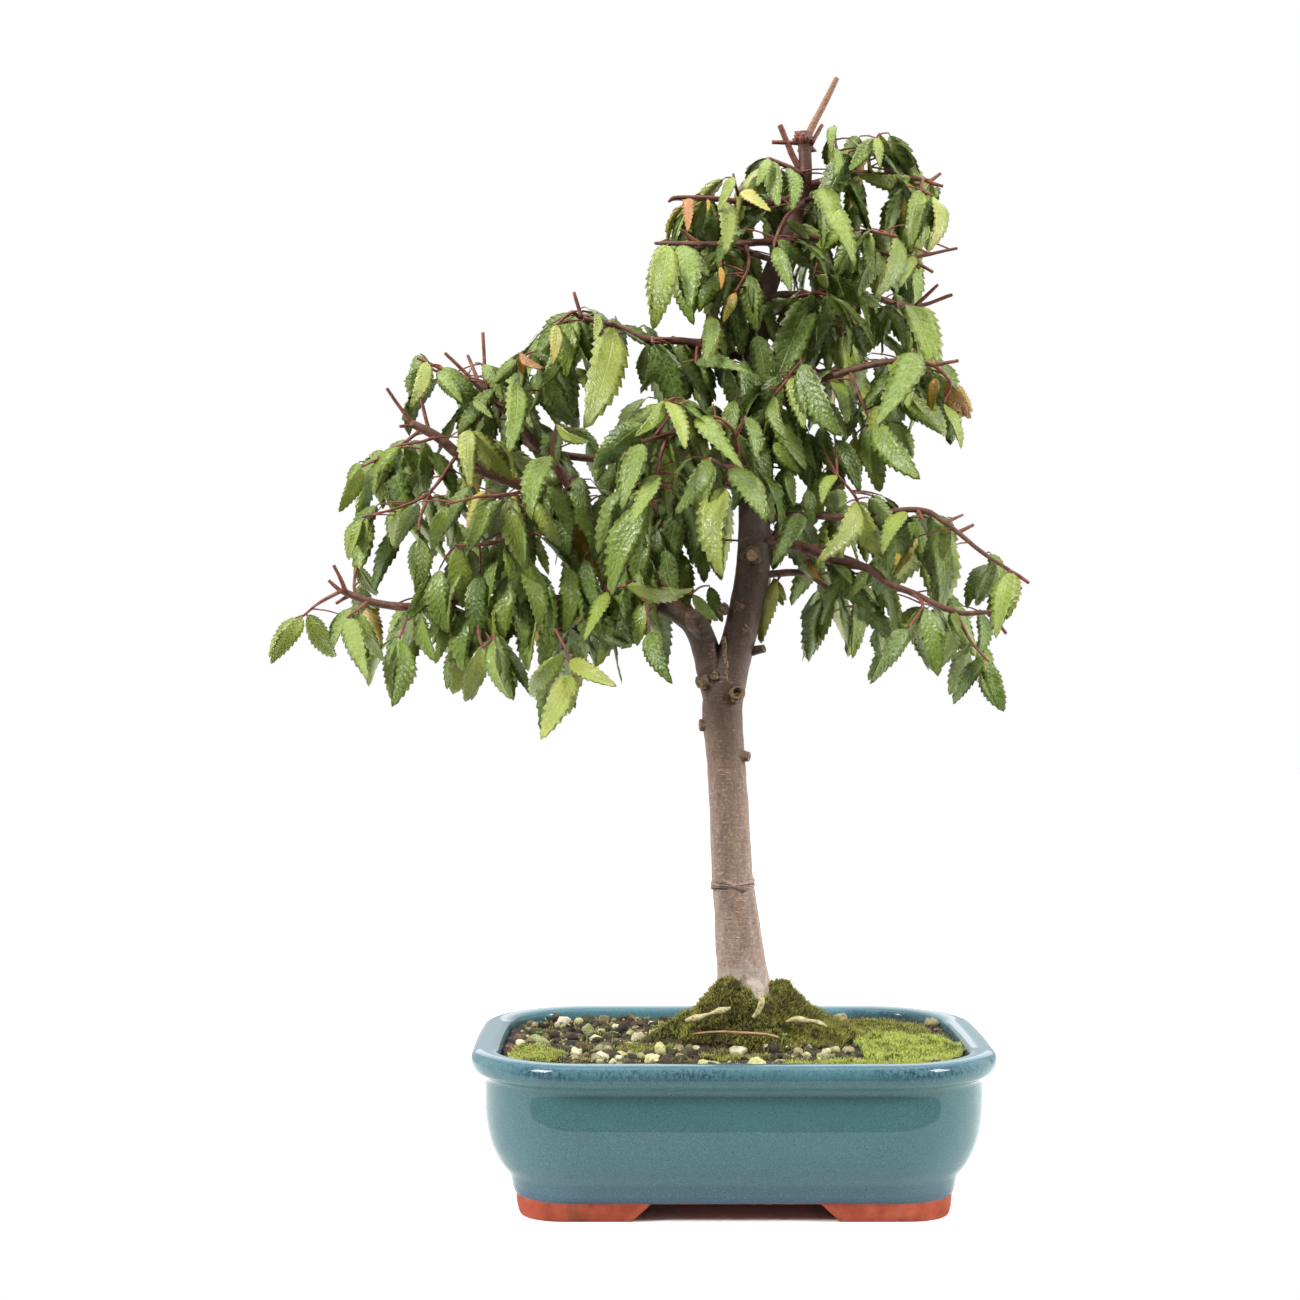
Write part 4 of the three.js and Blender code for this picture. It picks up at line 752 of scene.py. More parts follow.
def makePebbles():
    # Stones strewn by chance, kept inside the rim and off the moss, most of them small
    n = np.arange(pebbles["count"])
    x, y = ((draw(n, k + 1, 7) - 0.5) * pebbles["area"][k] for k in (0, 1))
    keep = withinRim(x, y, pebbles["inside"]) & (insideMoss(x, y) < 0.1 + 0.2 * draw(n, 8, 7))
    x, y, n = x[keep], y[keep], n[keep]
    rare = np.where(x < 10, 3.2, 4.2)
    size = between((pebbles["least"], pebbles["most"]), draw(n, 3, 7) ** rare)
    tone = np.clip(draw(n, 4, 7) ** 2.1 + np.where(size > 1.5, 0.24, 0) * draw(n, 10, 7), 0, 1)
    least, more = pebbles["squash"]
    z = soilHeight(x, y) + size * pebbles["sunk"]
    grit = stones(x, y, z, size, least + more * draw(n, 6, 7), 11, tone)
    cx, cy, size, tone = np.array(pebbles["chosen"], float).T
    chosen = stones(cx, cy, soilHeight(cx, cy) + size * 0.35, size, np.full(len(cx), least), 17, tone)
    makePiece("pebbles", [grit, chosen], pebbleMaterial())
    print("pebbles", len(x))


def mossMaterial(name, tone):
    # A mix of chance and patches picks each tuft's colour, dark at its foot and bright at its tip
    shader = Shader(name)
    chance, rise, tuft = shader.tint()[:3]
    patchy = shader.spread(shader.noise(150, 4, 0.6), 0.3, 0.7)
    mixed = shader.plus(shader.times(chance, 0.5), shader.times(patchy, 0.5))
    fresh = shader.ramp(mixed, [
        (0.15, (0.1, 0.045, 0.012)), (0.35, (0.2, 0.14, 0.022)), (0.55, (0.33, 0.32, 0.035)),
        (0.8, (0.6, 0.6, 0.09))])
    light = shader.ramp(mixed, [
        (0.15, (0.38, 0.36, 0.06)), (0.4, (0.6, 0.72, 0.09)), (0.8, (0.85, 0.92, 0.26))])
    tip = shader.mix(tone, fresh, light)
    foot = shader.mix(tone, (0.02, 0.016, 0.005), (0.1, 0.13, 0.02))
    color = shader.mix(shader.times(rise, tuft), foot, tip)
    ground = shader.cover(shader.noise(500, 4), 0.4, 0.7, 1, foot, shader.mix(0.5, foot, tip))
    color = shader.mix(tuft, ground, color)
    color = shader.cover(shader.noise(70, 3), 0.58, 0.72, 0.6, color, (0.05, 0.03, 0.013))
    gaps = shader.spread(shader.noise(330, 4, 0.7), 0.5, 0.62, 0, 0.7 - 0.4 * tone)
    color = shader.mix(gaps, color, (0.03, 0.02, 0.008))
    pale = shader.spread(shader.noise(460, 3, 0.7), 0.56, 0.66, 0, 0.55)
    color = shader.mix(shader.times(pale, rise), color, (0.66, 0.66, 0.25))
    shader.bump(shader.noise(1600, 3), 0.8, 0.0007)
    return shader.finish(color, 0.9)


def mossHeight(patch, index, x, y, share):
    # The soil's height, plus the patch's own bell-shaped humps and a lumpy thickness that ends at the edge
    flat = np.stack([x, y, np.zeros_like(x)], -1)
    lumps = 0.75 + 0.4 * ripple(flat, 6, 40 + index) + 0.3 * ripple(flat, 2.6, 50 + index)
    z = soilHeight(x, y, 0.3) + patch["thick"] * (1 - share ** 6) * lumps
    for middleX, middleY, wide, deep, high in patch["humps"]:
        bell = np.exp(-(((x - middleX) / wide) ** 2 + ((y - middleY) / deep) ** 2) ** 1.3)
        z = z + high * bell * (1 - share ** 6) * (1 + 0.12 * ripple(flat, 8, 45))
    return z


# Half width and half depth inside the pot's wall; a cushion's grid, the share at its heart and how far its
# edge and foot are sunk; how far out the tufts stand, how far they are sunk, how much they lean and bend
mossLimit = (87.6, 62.6)
cushionShape = {"rings": 40, "columns": 96, "heart": 0.0004, "edgeSunk": 1.6, "footSunk": 3}
tuftShape = {"furthest": 0.97, "sunk": 0.3, "lean": 1.5, "bend": 0.7}


def ovalPlace(patch, index, share, angle):
    # A place in the patch's wavy oval, at a share of the way to its edge, kept off the pot's wall
    edge = 1 + 0.12 * np.sin(3 * angle + index) + 0.07 * np.sin(7 * angle + 2 * index)
    x = patch["x"] + np.cos(angle) * patch["wide"] * share * edge
    y = patch["y"] + np.sin(angle) * patch["deep"] * share * edge
    reach = np.maximum((np.abs(x) / mossLimit[0]) ** 4 + (np.abs(y) / mossLimit[1]) ** 4, 1) ** 0.25
    return x / reach, y / reach


def pointedTufts(foot, tip, thick, turn, chance):
    # Thin pointed prisms, one from each foot to its tip: three corners round the foot, and the tip
    spin = np.arange(3)[None, :] * 2.094 + turn[:, None]
    base = foot[:, None] + thick * np.stack([np.cos(spin), np.sin(spin), np.zeros_like(spin)], -1)
    verts = np.concatenate([base, tip[:, None]], 1).reshape(-1, 3)
    first = (np.arange(len(foot)) * 4)[:, None, None]
    tris = np.array([(0, 1, 3), (1, 2, 3), (2, 0, 3), (0, 2, 1)])[None] + first
    full = np.ones(len(verts))
    tint = np.stack([np.repeat(chance, 4), np.tile([0.0, 0.0, 0.0, 1.0], len(foot)), full, full], -1)
    return {"verts": verts, "quads": np.zeros((0, 4), int), "tris": tris.reshape(-1, 3), "tint": tint}


def mossPatch(patch, index):
    # A low cushion: an oval grid raised by lumps, its edge drawn down, with pointed tufts all over
    share = np.sqrt(np.linspace(1, cushionShape["heart"], cushionShape["rings"]))[:, None]
    angle = around(cushionShape["columns"])[None, :]
    x, y = ovalPlace(patch, index, share, angle)
    z = mossHeight(patch, index, x, y, share) - cushionShape["edgeSunk"] * share ** 8
    top = np.stack([x, y, z], -1)
    low = np.stack([x[0], y[0], soilHeight(x[0], y[0], 0) - cushionShape["footSunk"]], -1)[None]
    cushion = ringSkin(np.concatenate([low, top]))
    n = np.arange(patch["tufts"])
    share = np.sqrt(draw(n, 1, 60 + index)) * tuftShape["furthest"]
    x, y = ovalPlace(patch, index, share, 6.2832 * draw(n, 2, 60 + index))
    foot = np.stack([x, y, mossHeight(patch, index, x, y, share) - tuftShape["sunk"]], -1)
    high = between(patch["high"], draw(n, 3, 60 + index) ** 2)
    lean = (np.stack([draw(n, 4, 61), draw(n, 5, 61)], -1) - 0.5) * tuftShape["lean"] * high[:, None]
    slope = np.stack([mossHeight(patch, index, x - step[0], y - step[1], share) - foot[:, 2]
                      for step in ((1, 0), (0, 1))], -1)
    lean = lean + np.clip(slope, -1, 1) * high[:, None] * tuftShape["bend"]
    tip = foot + np.column_stack([lean, high])
    tufts = pointedTufts(foot, tip, patch["thin"], 6.28 * draw(n, 6, 61), draw(n, 7, 61))
    makePiece(patch["name"], [cushion, tufts], mossMaterial(patch["name"], patch["tone"]))


# Small things on the soil: moss sprigs among the stones, crusted roots, a dry stick and seedlings
scattered = {"sprigs": 330, "perSprig": 9, "spread": 1.5, "high": (1.0, 2.6), "thin": 0.28, "tone": 0.45,
             "area": (166, 116), "inside": (84, 59)}
crusts = [
    [(-18, -21, 65.8, 0.8), (-13, -22, 67.0, 1.2), (-8, -22.5, 68.6, 0.8), (-4, -22.5, 69.6, 1.2),
     (0, -22, 71.0, 0.7)],
    [(22, -18, 65.2, 0.7), (26, -19, 66.2, 1.4), (31, -19, 65.5, 1.0), (35, -18, 65.0, 1.2),
     (38, -18, 63.6, 0.7)],
    [(9, -23, 67.0, 0.6), (10.5, -23, 69.0, 1.0), (12, -22, 72.0, 1.2), (12.6, -20, 75.0, 0.8)],
]
stick = [(-15, -28, 60.6, 0.35), (-6, -29, 61.4, 0.5), (4, -30, 61.0, 0.6), (14, -30, 60.4, 0.5),
         (19, -31, 59.2, 0.4)]
seedlings = [
    (-57, -36, 5.0), (-47, -30, 4.0), (-28, 8, 6.5), (-24, 4, 8.0), (-21, 6, 7.0), (-75, 10, 4.0),
    (20, -46, 3.5), (50, 20, 4.0),
]


seedlingShape = {"lean": 3, "sunk": 0.5, "leaves": 3, "apart": 2.1, "tip": 0.38, "middle": 0.2, "rise": 0.35,
                 "lift": 0.2, "stemRadii": (0.22, 0.18, 0.14), "leafRadii": (0.1, 0.42, 0.08)}


def crustMaterial():
    # Pale crust with dark hollows
    shader = Shader("paleCrust")
    color = shader.ramp(shader.noise(620, 4, 0.7), [
        (0.3, (0.08, 0.06, 0.025)), (0.48, (0.4, 0.36, 0.16)), (0.7, (0.68, 0.64, 0.4))])
    shader.bump(shader.noise(900, 4), 1.0, 0.001)
    return shader.finish(color, 0.9)


def stickMaterial():
    # Long streaks of brown and tan
    shader = Shader("dryStick")
    streaks = shader.noise(1.0, 4, 0.6, shader.stretch((160, 900, 900)))
    color = shader.ramp(streaks, [(0.3, (0.12, 0.055, 0.025)), (0.6, (0.42, 0.25, 0.12)),
                                  (0.8, (0.6, 0.42, 0.25))])
    return shader.finish(color, 0.8)


def seedlingMaterial():
    # Fresh green, a little uneven
    shader = Shader("seedlingGreen")
    color = shader.ramp(shader.noise(300, 3), [(0.3, (0.1, 0.16, 0.03)), (0.7, (0.3, 0.42, 0.09))])
    return shader.finish(color, 0.6)


def makeSprigs():
    # Little bundles of moss threads, set between the stones: each thread is a thin pointed prism
    n = np.arange(scattered["sprigs"])
    x, y = ((draw(n, k + 1, 91) - 0.5) * scattered["area"][k] for k in (0, 1))
    keep = withinRim(x, y, scattered["inside"]) & (insideMoss(x, y) < 0.05)
    count = scattered["perSprig"]
    size = 0.5 + draw(n, 3, 91)[keep]
    x, y = np.repeat(x[keep], count), np.repeat(y[keep], count)
    size = np.repeat(size, count)
    n = np.arange(len(x))
    turn, reach = 6.283 * draw(n, 4, 91), scattered["spread"] * np.sqrt(draw(n, 5, 91)) * size
    x, y = x + np.cos(turn) * reach, y + np.sin(turn) * reach
    high = between(scattered["high"], draw(n, 6, 91)) * size
    foot = np.stack([x, y, soilHeight(x, y) - 0.2], -1)
    away = np.column_stack([np.cos(turn) * 0.5, np.sin(turn) * 0.5, np.ones(len(n))])
    tip = foot + away * high[:, None]
    tufts = pointedTufts(foot, tip, scattered["thin"], 6.28 * draw(n, 7, 91), draw(n, 8, 91))
    makePiece("mossSprigs", [tufts], mossMaterial("mossSprigs", scattered["tone"]))


def makeLitter():
    # Crusts and the stick are uneven tubes; a seedling is a thin stem with three pointed leaves
    lumps = [woodTube(line, 12, 8, 0.35, 70 + k) for k, line in enumerate(crusts)]
    makePiece("crustedRoots", lumps, crustMaterial())
    makePiece("dryStick", [woodTube(stick, 10, 5, 0.12, 75)], stickMaterial())
    parts = []
    for k, (x, y, high) in enumerate(seedlings):
        z = float(soilHeight(np.array([x], float), np.array([y], float))[0])
        lean = (draw(k, 1, 92) - 0.5) * seedlingShape["lean"]
        top = np.array([x + lean, y - 0.5, z + high])
        stem = [(x, y, z - seedlingShape["sunk"]), (x + lean * 0.4, y, z + high * 0.5), top]
        parts.append(woodTube([(*p, r) for p, r in zip(stem, seedlingShape["stemRadii"])], 5, 3))
        for hand in range(seedlingShape["leaves"]):
            turn = hand * seedlingShape["apart"] + 6.3 * draw(k, 2, 92)
            out = np.array([math.cos(turn), math.sin(turn) * 0.6, seedlingShape["rise"]]) * high
            middle = top + out * seedlingShape["middle"] + np.array([0, 0, seedlingShape["lift"]])
            leaf = [top, middle, top + out * seedlingShape["tip"]]
            parts.append(woodTube([(*p, r) for p, r in zip(leaf, seedlingShape["leafRadii"])], 5, 3))
    makePiece("seedlings", parts, seedlingMaterial())


makeSoil()
makePebbles()
for index, patch in enumerate(mossPatches):
    mossPatch(patch, index)
makeSprigs()
makeLitter()
print("soil, pebbles, moss and litter made")


# Trunk, leader, left limb, main roots and cut stubs, as points of x, depth, height and radius in mm
trunkLine = [
  [6, 0, 30, 12], [6, 0, 58, 13], [5.6, 0, 70, 12.6], [5.2, 0, 80, 10.6], [3.5, 0, 94, 9.4],
  [1.2, 0, 117.5, 8.3], [0.9, 0, 120, 8.9], [0.7, 0, 122.5, 8.2], [-0.8, 0, 153, 7.7], [-2.3, 0, 173, 7.5],
  [-3.4, 0, 189, 7.9], [-1.8, 0, 199, 7.6], [0.9, 0, 208.6, 6.9], [3, 0, 216.5, 6.6], [6.8, 0, 232, 6.7],
  [8.7, 0, 244, 6.7], [9.4, 0, 260, 6.3], [9.2, 0, 287.6, 5.8], [8.4, 0, 317, 5.2], [13.2, 0, 351, 4.2],
  [23.4, 0, 378.6, 3.3], [29, 0, 396.4, 2.8], [29.4, 0, 410, 2.6], [29.3, 0, 414, 3.5],
  [29.3, 0, 417.5, 2.6],
]
limbLine = [
  [-3.6, 0, 191, 6], [-5.8, 0, 198, 6.3], [-8.2, 0, 206.6, 5.7], [-9.8, 0, 212.5, 5.4],
  [-12.5, 0, 220, 5.2], [-15.5, 0, 223.6, 4.6], [-19.5, 0, 226, 4], [-24, 0, 228.2, 3.2],
  [-28.4, 0, 229.5, 2.9],
]
rootLines = [
  [[7, -4, 84, 5], [10, -11, 70, 5], [12, -18, 56, 3.6], [13, -22, 46, 2]],
  [[2, -3, 82, 4.5], [-5, -8, 68, 4.5], [-14, -12, 54, 3.2], [-18, -14, 46, 2]],
  [[9, 3, 82, 4.5], [17, 8, 67, 4.4], [24, 13, 54, 3.2], [27, 15, 46, 2]],
  [[3, 4, 82, 4.5], [-2, 12, 67, 4.2], [-7, 20, 54, 3], [-9, 24, 46, 2]],
]
bareStubs = [
  [[29.5, 0, 412, 1.7], [31.7, 0, 418.5, 1.5], [36.9, 0, 428.4, 1.3], [42, 0, 438.7, 1.1]],
  [[28, 0, 402, 1.4], [25, -1, 407, 1.3], [19.5, -2, 420, 1.1]],
  [[29, 0, 413, 1], [16.7, -3, 413.4, 0.8]],
  [[31, 0, 411, 1], [36, 4, 420, 0.8]],
  [[8, 0, 212, 2], [12.8, -2.4, 213, 1.6]],
  [[2, -2, 171, 3.4], [6.7, -3.4, 170.5, 2]],
  [[-4, -1, 183, 4], [-11.4, -1.6, 182.8, 2.4]],
  [[8.6, -2, 250, 3.2], [8.4, -8.2, 250, 2.6]],
  [[-10, -1, 216, 4.5], [-13.2, -5.4, 225.6, 3.9]],
  [[-5, 0, 199, 3], [-11.5, -5, 199.8, 2.4]],
  [[1.5, 0, 195, 3], [2.5, -8.6, 195.5, 2.6]],
]


def barkMaterial():
    # Grey-pink below and dark brown above, with streaks, flecks, pores and lime; then shoots and cuts
    shader = Shader("zelkovaBark")
    z = shader.parts(shader.place)[2]
    cut, young = shader.tint()[:2]
    old = shader.ramp(shader.spread(z, 0.07, 0.27), [
        (0.0, (0.33, 0.23, 0.175)), (0.25, (0.285, 0.192, 0.14)), (0.47, (0.215, 0.135, 0.09)),
        (0.59, (0.09, 0.05, 0.028)),
        (0.7, (0.058, 0.031, 0.018)), (1.0, (0.044, 0.025, 0.015))])
    mottle = shader.noise(240, 5, 0.65)
    streaky = shader.noise(1.0, 5, 0.65, shader.stretch((330, 330, 60)))
    old = shader.cover(streaky, 0.45, 0.7, 0.55, old, (0.09, 0.05, 0.034))
    wide = shader.noise(1.0, 4, 0.6, shader.stretch((110, 110, 22)))
    old = shader.cover(wide, 0.48, 0.66, 0.6, old, (0.14, 0.078, 0.05))
    silver = shader.noise(1.0, 6, 0.8, shader.stretch((900, 900, 900)))
    silvery = shader.times(shader.spread(silver, 0.52, 0.62), shader.spread(z, 0.14, 0.19, 0.55, 0.08))
    old = shader.mix(silvery, old, (0.5, 0.42, 0.37))
    pits = shader.noise(1.0, 5, 0.8, shader.stretch((1300, 1300, 800)))
    old = shader.cover(pits, 0.54, 0.66, 0.6, old, (0.06, 0.03, 0.02))
    old = shader.cover(z, 0.33, 0.38, 0.7, old, (0.1, 0.032, 0.018))
    pores = shader.cells(1.0, shader.stretch((230, 230, 800)))
    pore = shader.spread(pores.outputs["Distance"], 0.14, 0.28, 0.9, 0)
    grouped = shader.times(shader.spread(shader.noise(75, 3), 0.5, 0.62),
                           shader.spread(shader.noise(360, 2), 0.44, 0.54))
    pore = shader.times(pore, grouped)
    pore = shader.times(pore, shader.spread(z, 0.18, 0.21, 1, 0.5))
    old = shader.mix(pore, old, (0.46, 0.17, 0.07))
    rimmed = shader.times(shader.spread(pores.outputs["Distance"], 0.27, 0.36, 1, 0), grouped)
    rimmed = shader.math("SUBTRACT", rimmed, pore, True)
    rimmed = shader.times(rimmed, shader.spread(z, 0.15, 0.2, 0.5, 0.15))
    old = shader.mix(rimmed, old, (0.5, 0.4, 0.33))
    lime = shader.plus(z, shader.spread(shader.noise(160, 4), 0, 1, -0.009, 0.009))
    thin = shader.spread(shader.noise(420, 4), 0.34, 0.52)
    film = shader.times(shader.spread(lime, 0.0835, 0.0895, 0.62, 0), thin)
    old = shader.mix(film, old, (0.47, 0.42, 0.36))
    soiled = shader.spread(lime, 0.068, 0.074, 0.92, 0)
    old = shader.mix(soiled, old, (0.035, 0.032, 0.012))
    shoot = shader.ramp(shader.noise(420, 4), [(0.3, (0.07, 0.016, 0.009)), (0.55, (0.2, 0.056, 0.028)),
                                               (0.8, (0.34, 0.15, 0.08))])
    color = shader.mix(young, old, shoot)
    wood = shader.ramp(shader.noise(900, 2), [(0.3, (0.2, 0.1, 0.045)), (0.7, (0.5, 0.34, 0.18))])
    color = shader.mix(cut, color, wood)
    rings = shader.noise(1.0, 3, 0.6, shader.stretch((60, 60, 900)))
    height = shader.plus(shader.times(mottle, 0.7), shader.times(rings, 0.5))
    height = shader.plus(height, shader.times(pore, 0.8))
    shader.bump(height, 0.6, 0.0007)
    return shader.finish(color, shader.spread(mottle, 0.3, 0.7, 0.5, 0.75))


bark = barkMaterial()


# Of the cut stubs, the first four are fresh, some have pale ends, and the first is pale all along
stubKinds = {"fresh": 4, "freshBark": 0.8, "paleEnds": (0, 1, 7), "allPale": 0}
# Wounds: place, radius and the way each faces. Each is rings: share of its radius, rise in half radii, tint.
wounds = [
    (8.2, -6.6, 250, 3.5, (-0.2, -1, 0.1)), (-13.6, -5.6, 225.4, 4.4, (-0.3, -0.85, 0.5)),
    (-11.8, -5.8, 199.8, 2.5, (-0.7, -1, 0)), (2.4, -8.2, 195, 2.7, (0.1, -1, 0)),
    (2.6, -5.7, 229.5, 2, (-0.8, -0.8, 0.2)), (4.6, -6.3, 221, 2.4, (-0.4, -1, 0.2)),
    (-6.4, -6.8, 202.2, 1.6, (-0.3, -1, 0)), (-3.2, -6.6, 229, 1.9, (-0.2, -1, 0.2)),
]
woundRings = {
    "share": (1.3, 1.14, 1.0, 0.84, 0.68, 0.5, 0.3, 0.12),
    "rise": (-1.6, -0.35, 0.1, 0.28, 0.2, -0.05, 0.08, 0.12),
    "tint": (0, 0, 0.2, 0.32, 0.05, 0.15, 0.5, 0.4), "columns": 28,
}
seamLine = [[-2.6, -4.4, 218, 0.7], [-2.4, -5.4, 212, 1.1], [-1.7, -6.4, 206, 1.3], [-1.2, -7.1, 200, 0.8]]
# Rings of buds at the top: place, number, length and seed
budRings = [(29.3, 0, 411.5, 9, 4.2, 81), (29.2, 0, 415.5, 7, 3.6, 82)]


def scar(x, y, z, radius, way, seed):
    # A healed wound: a swollen lip round a hollow, turned on the axis that it faces
    way = unit(np.array(way, float))
    side = unit(np.cross(way, [0.0, 0.3, 1.0]))
    other = np.cross(way, side)
    share = np.array(woundRings["share"])
    rise = np.array(woundRings["rise"]) * radius * 0.5
    angle = around(woundRings["columns"])
    uneven = 1 + sum(high * np.sin(waves * angle + times * seed)
                     for high, waves, times in ((0.12, 3, 1), (0.08, 5, 2), (0.05, 9, 3)))
    spoke = np.cos(angle)[:, None] * side + np.sin(angle)[:, None] * other
    middle = np.array([x, y, z], float)
    rings = middle + spoke[None] * (share[:, None] * radius * uneven)[..., None] + way * rise[:, None, None]
    rings = rings + way * (0.16 * radius * ripple(rings, 2.2, seed))[..., None]
    tint = np.zeros(rings.shape[:2] + (4,))
    tint[:, :, 0] = np.array(woundRings["tint"])[:, None]
    return ringSkin(sight(rings), tint)


def knobbly(line, seed):
    # A rough tan ridge of healed bark along a line
    ridge = woodTube(line, 16, 14, 0.5, seed)
    ridge["tint"][:, 0] = np.clip(0.3 + 0.6 * ripple(ridge["verts"], 1.4, seed), 0, 0.7)
    return ridge


def budRing(x, y, z, count, reach, seed):
    # Short tapered buds that point outwards round a knob
    buds = []
    for k in range(count):
        turn, rise = 6.283 * (k + 0.5 * draw(k, 1, seed)) / count, 1.6 * draw(k, 2, seed) - 0.6
        out = np.array([math.cos(turn), math.sin(turn), rise]) * reach
        foot = np.array([x, y, z]) + out * 0.4
        buds.append(woodTube([[*foot, 0.9], [*(foot + out * 0.35), 1.15], [*(foot + out * 0.75), 0.3]], 7,
                             3, 0.1, seed + k, 1.0))
    return buds


def makeTrunk():
    # Tubes along the trunk, limb, roots and stubs, with buds and healed wounds set into them
    parts = [bud for ring in budRings for bud in budRing(*ring)]
    parts.append(woodTube(trunkLine, 56, 12, 0.03, 2, ridged=0.03))
    parts.append(woodTube(limbLine, 40, 10, 0.04, 3, ridged=0.03))
    parts += [woodTube(line, 24, 8, 0.07, 10 + k) for k, line in enumerate(rootLines)]
    for k, line in enumerate(bareStubs):
        fresh = stubKinds["freshBark"] if k < stubKinds["fresh"] else 0.0
        end = "pale" if k in stubKinds["paleEnds"] else "healed"
        parts.append(woodTube(line, 20, 6, 0.1, 20 + k, fresh, end))
        if k == stubKinds["allPale"]:
            parts[-1]["tint"][:, 0] = np.maximum(parts[-1]["tint"][:, 0], 0.5)
    parts += [scar(*wound, 1 + k) for k, wound in enumerate(wounds)]
    parts.append(knobbly(seamLine, 91))
    makePiece("trunkWood", parts, bark, ["trunk"])


makeTrunk()
print("trunk made")


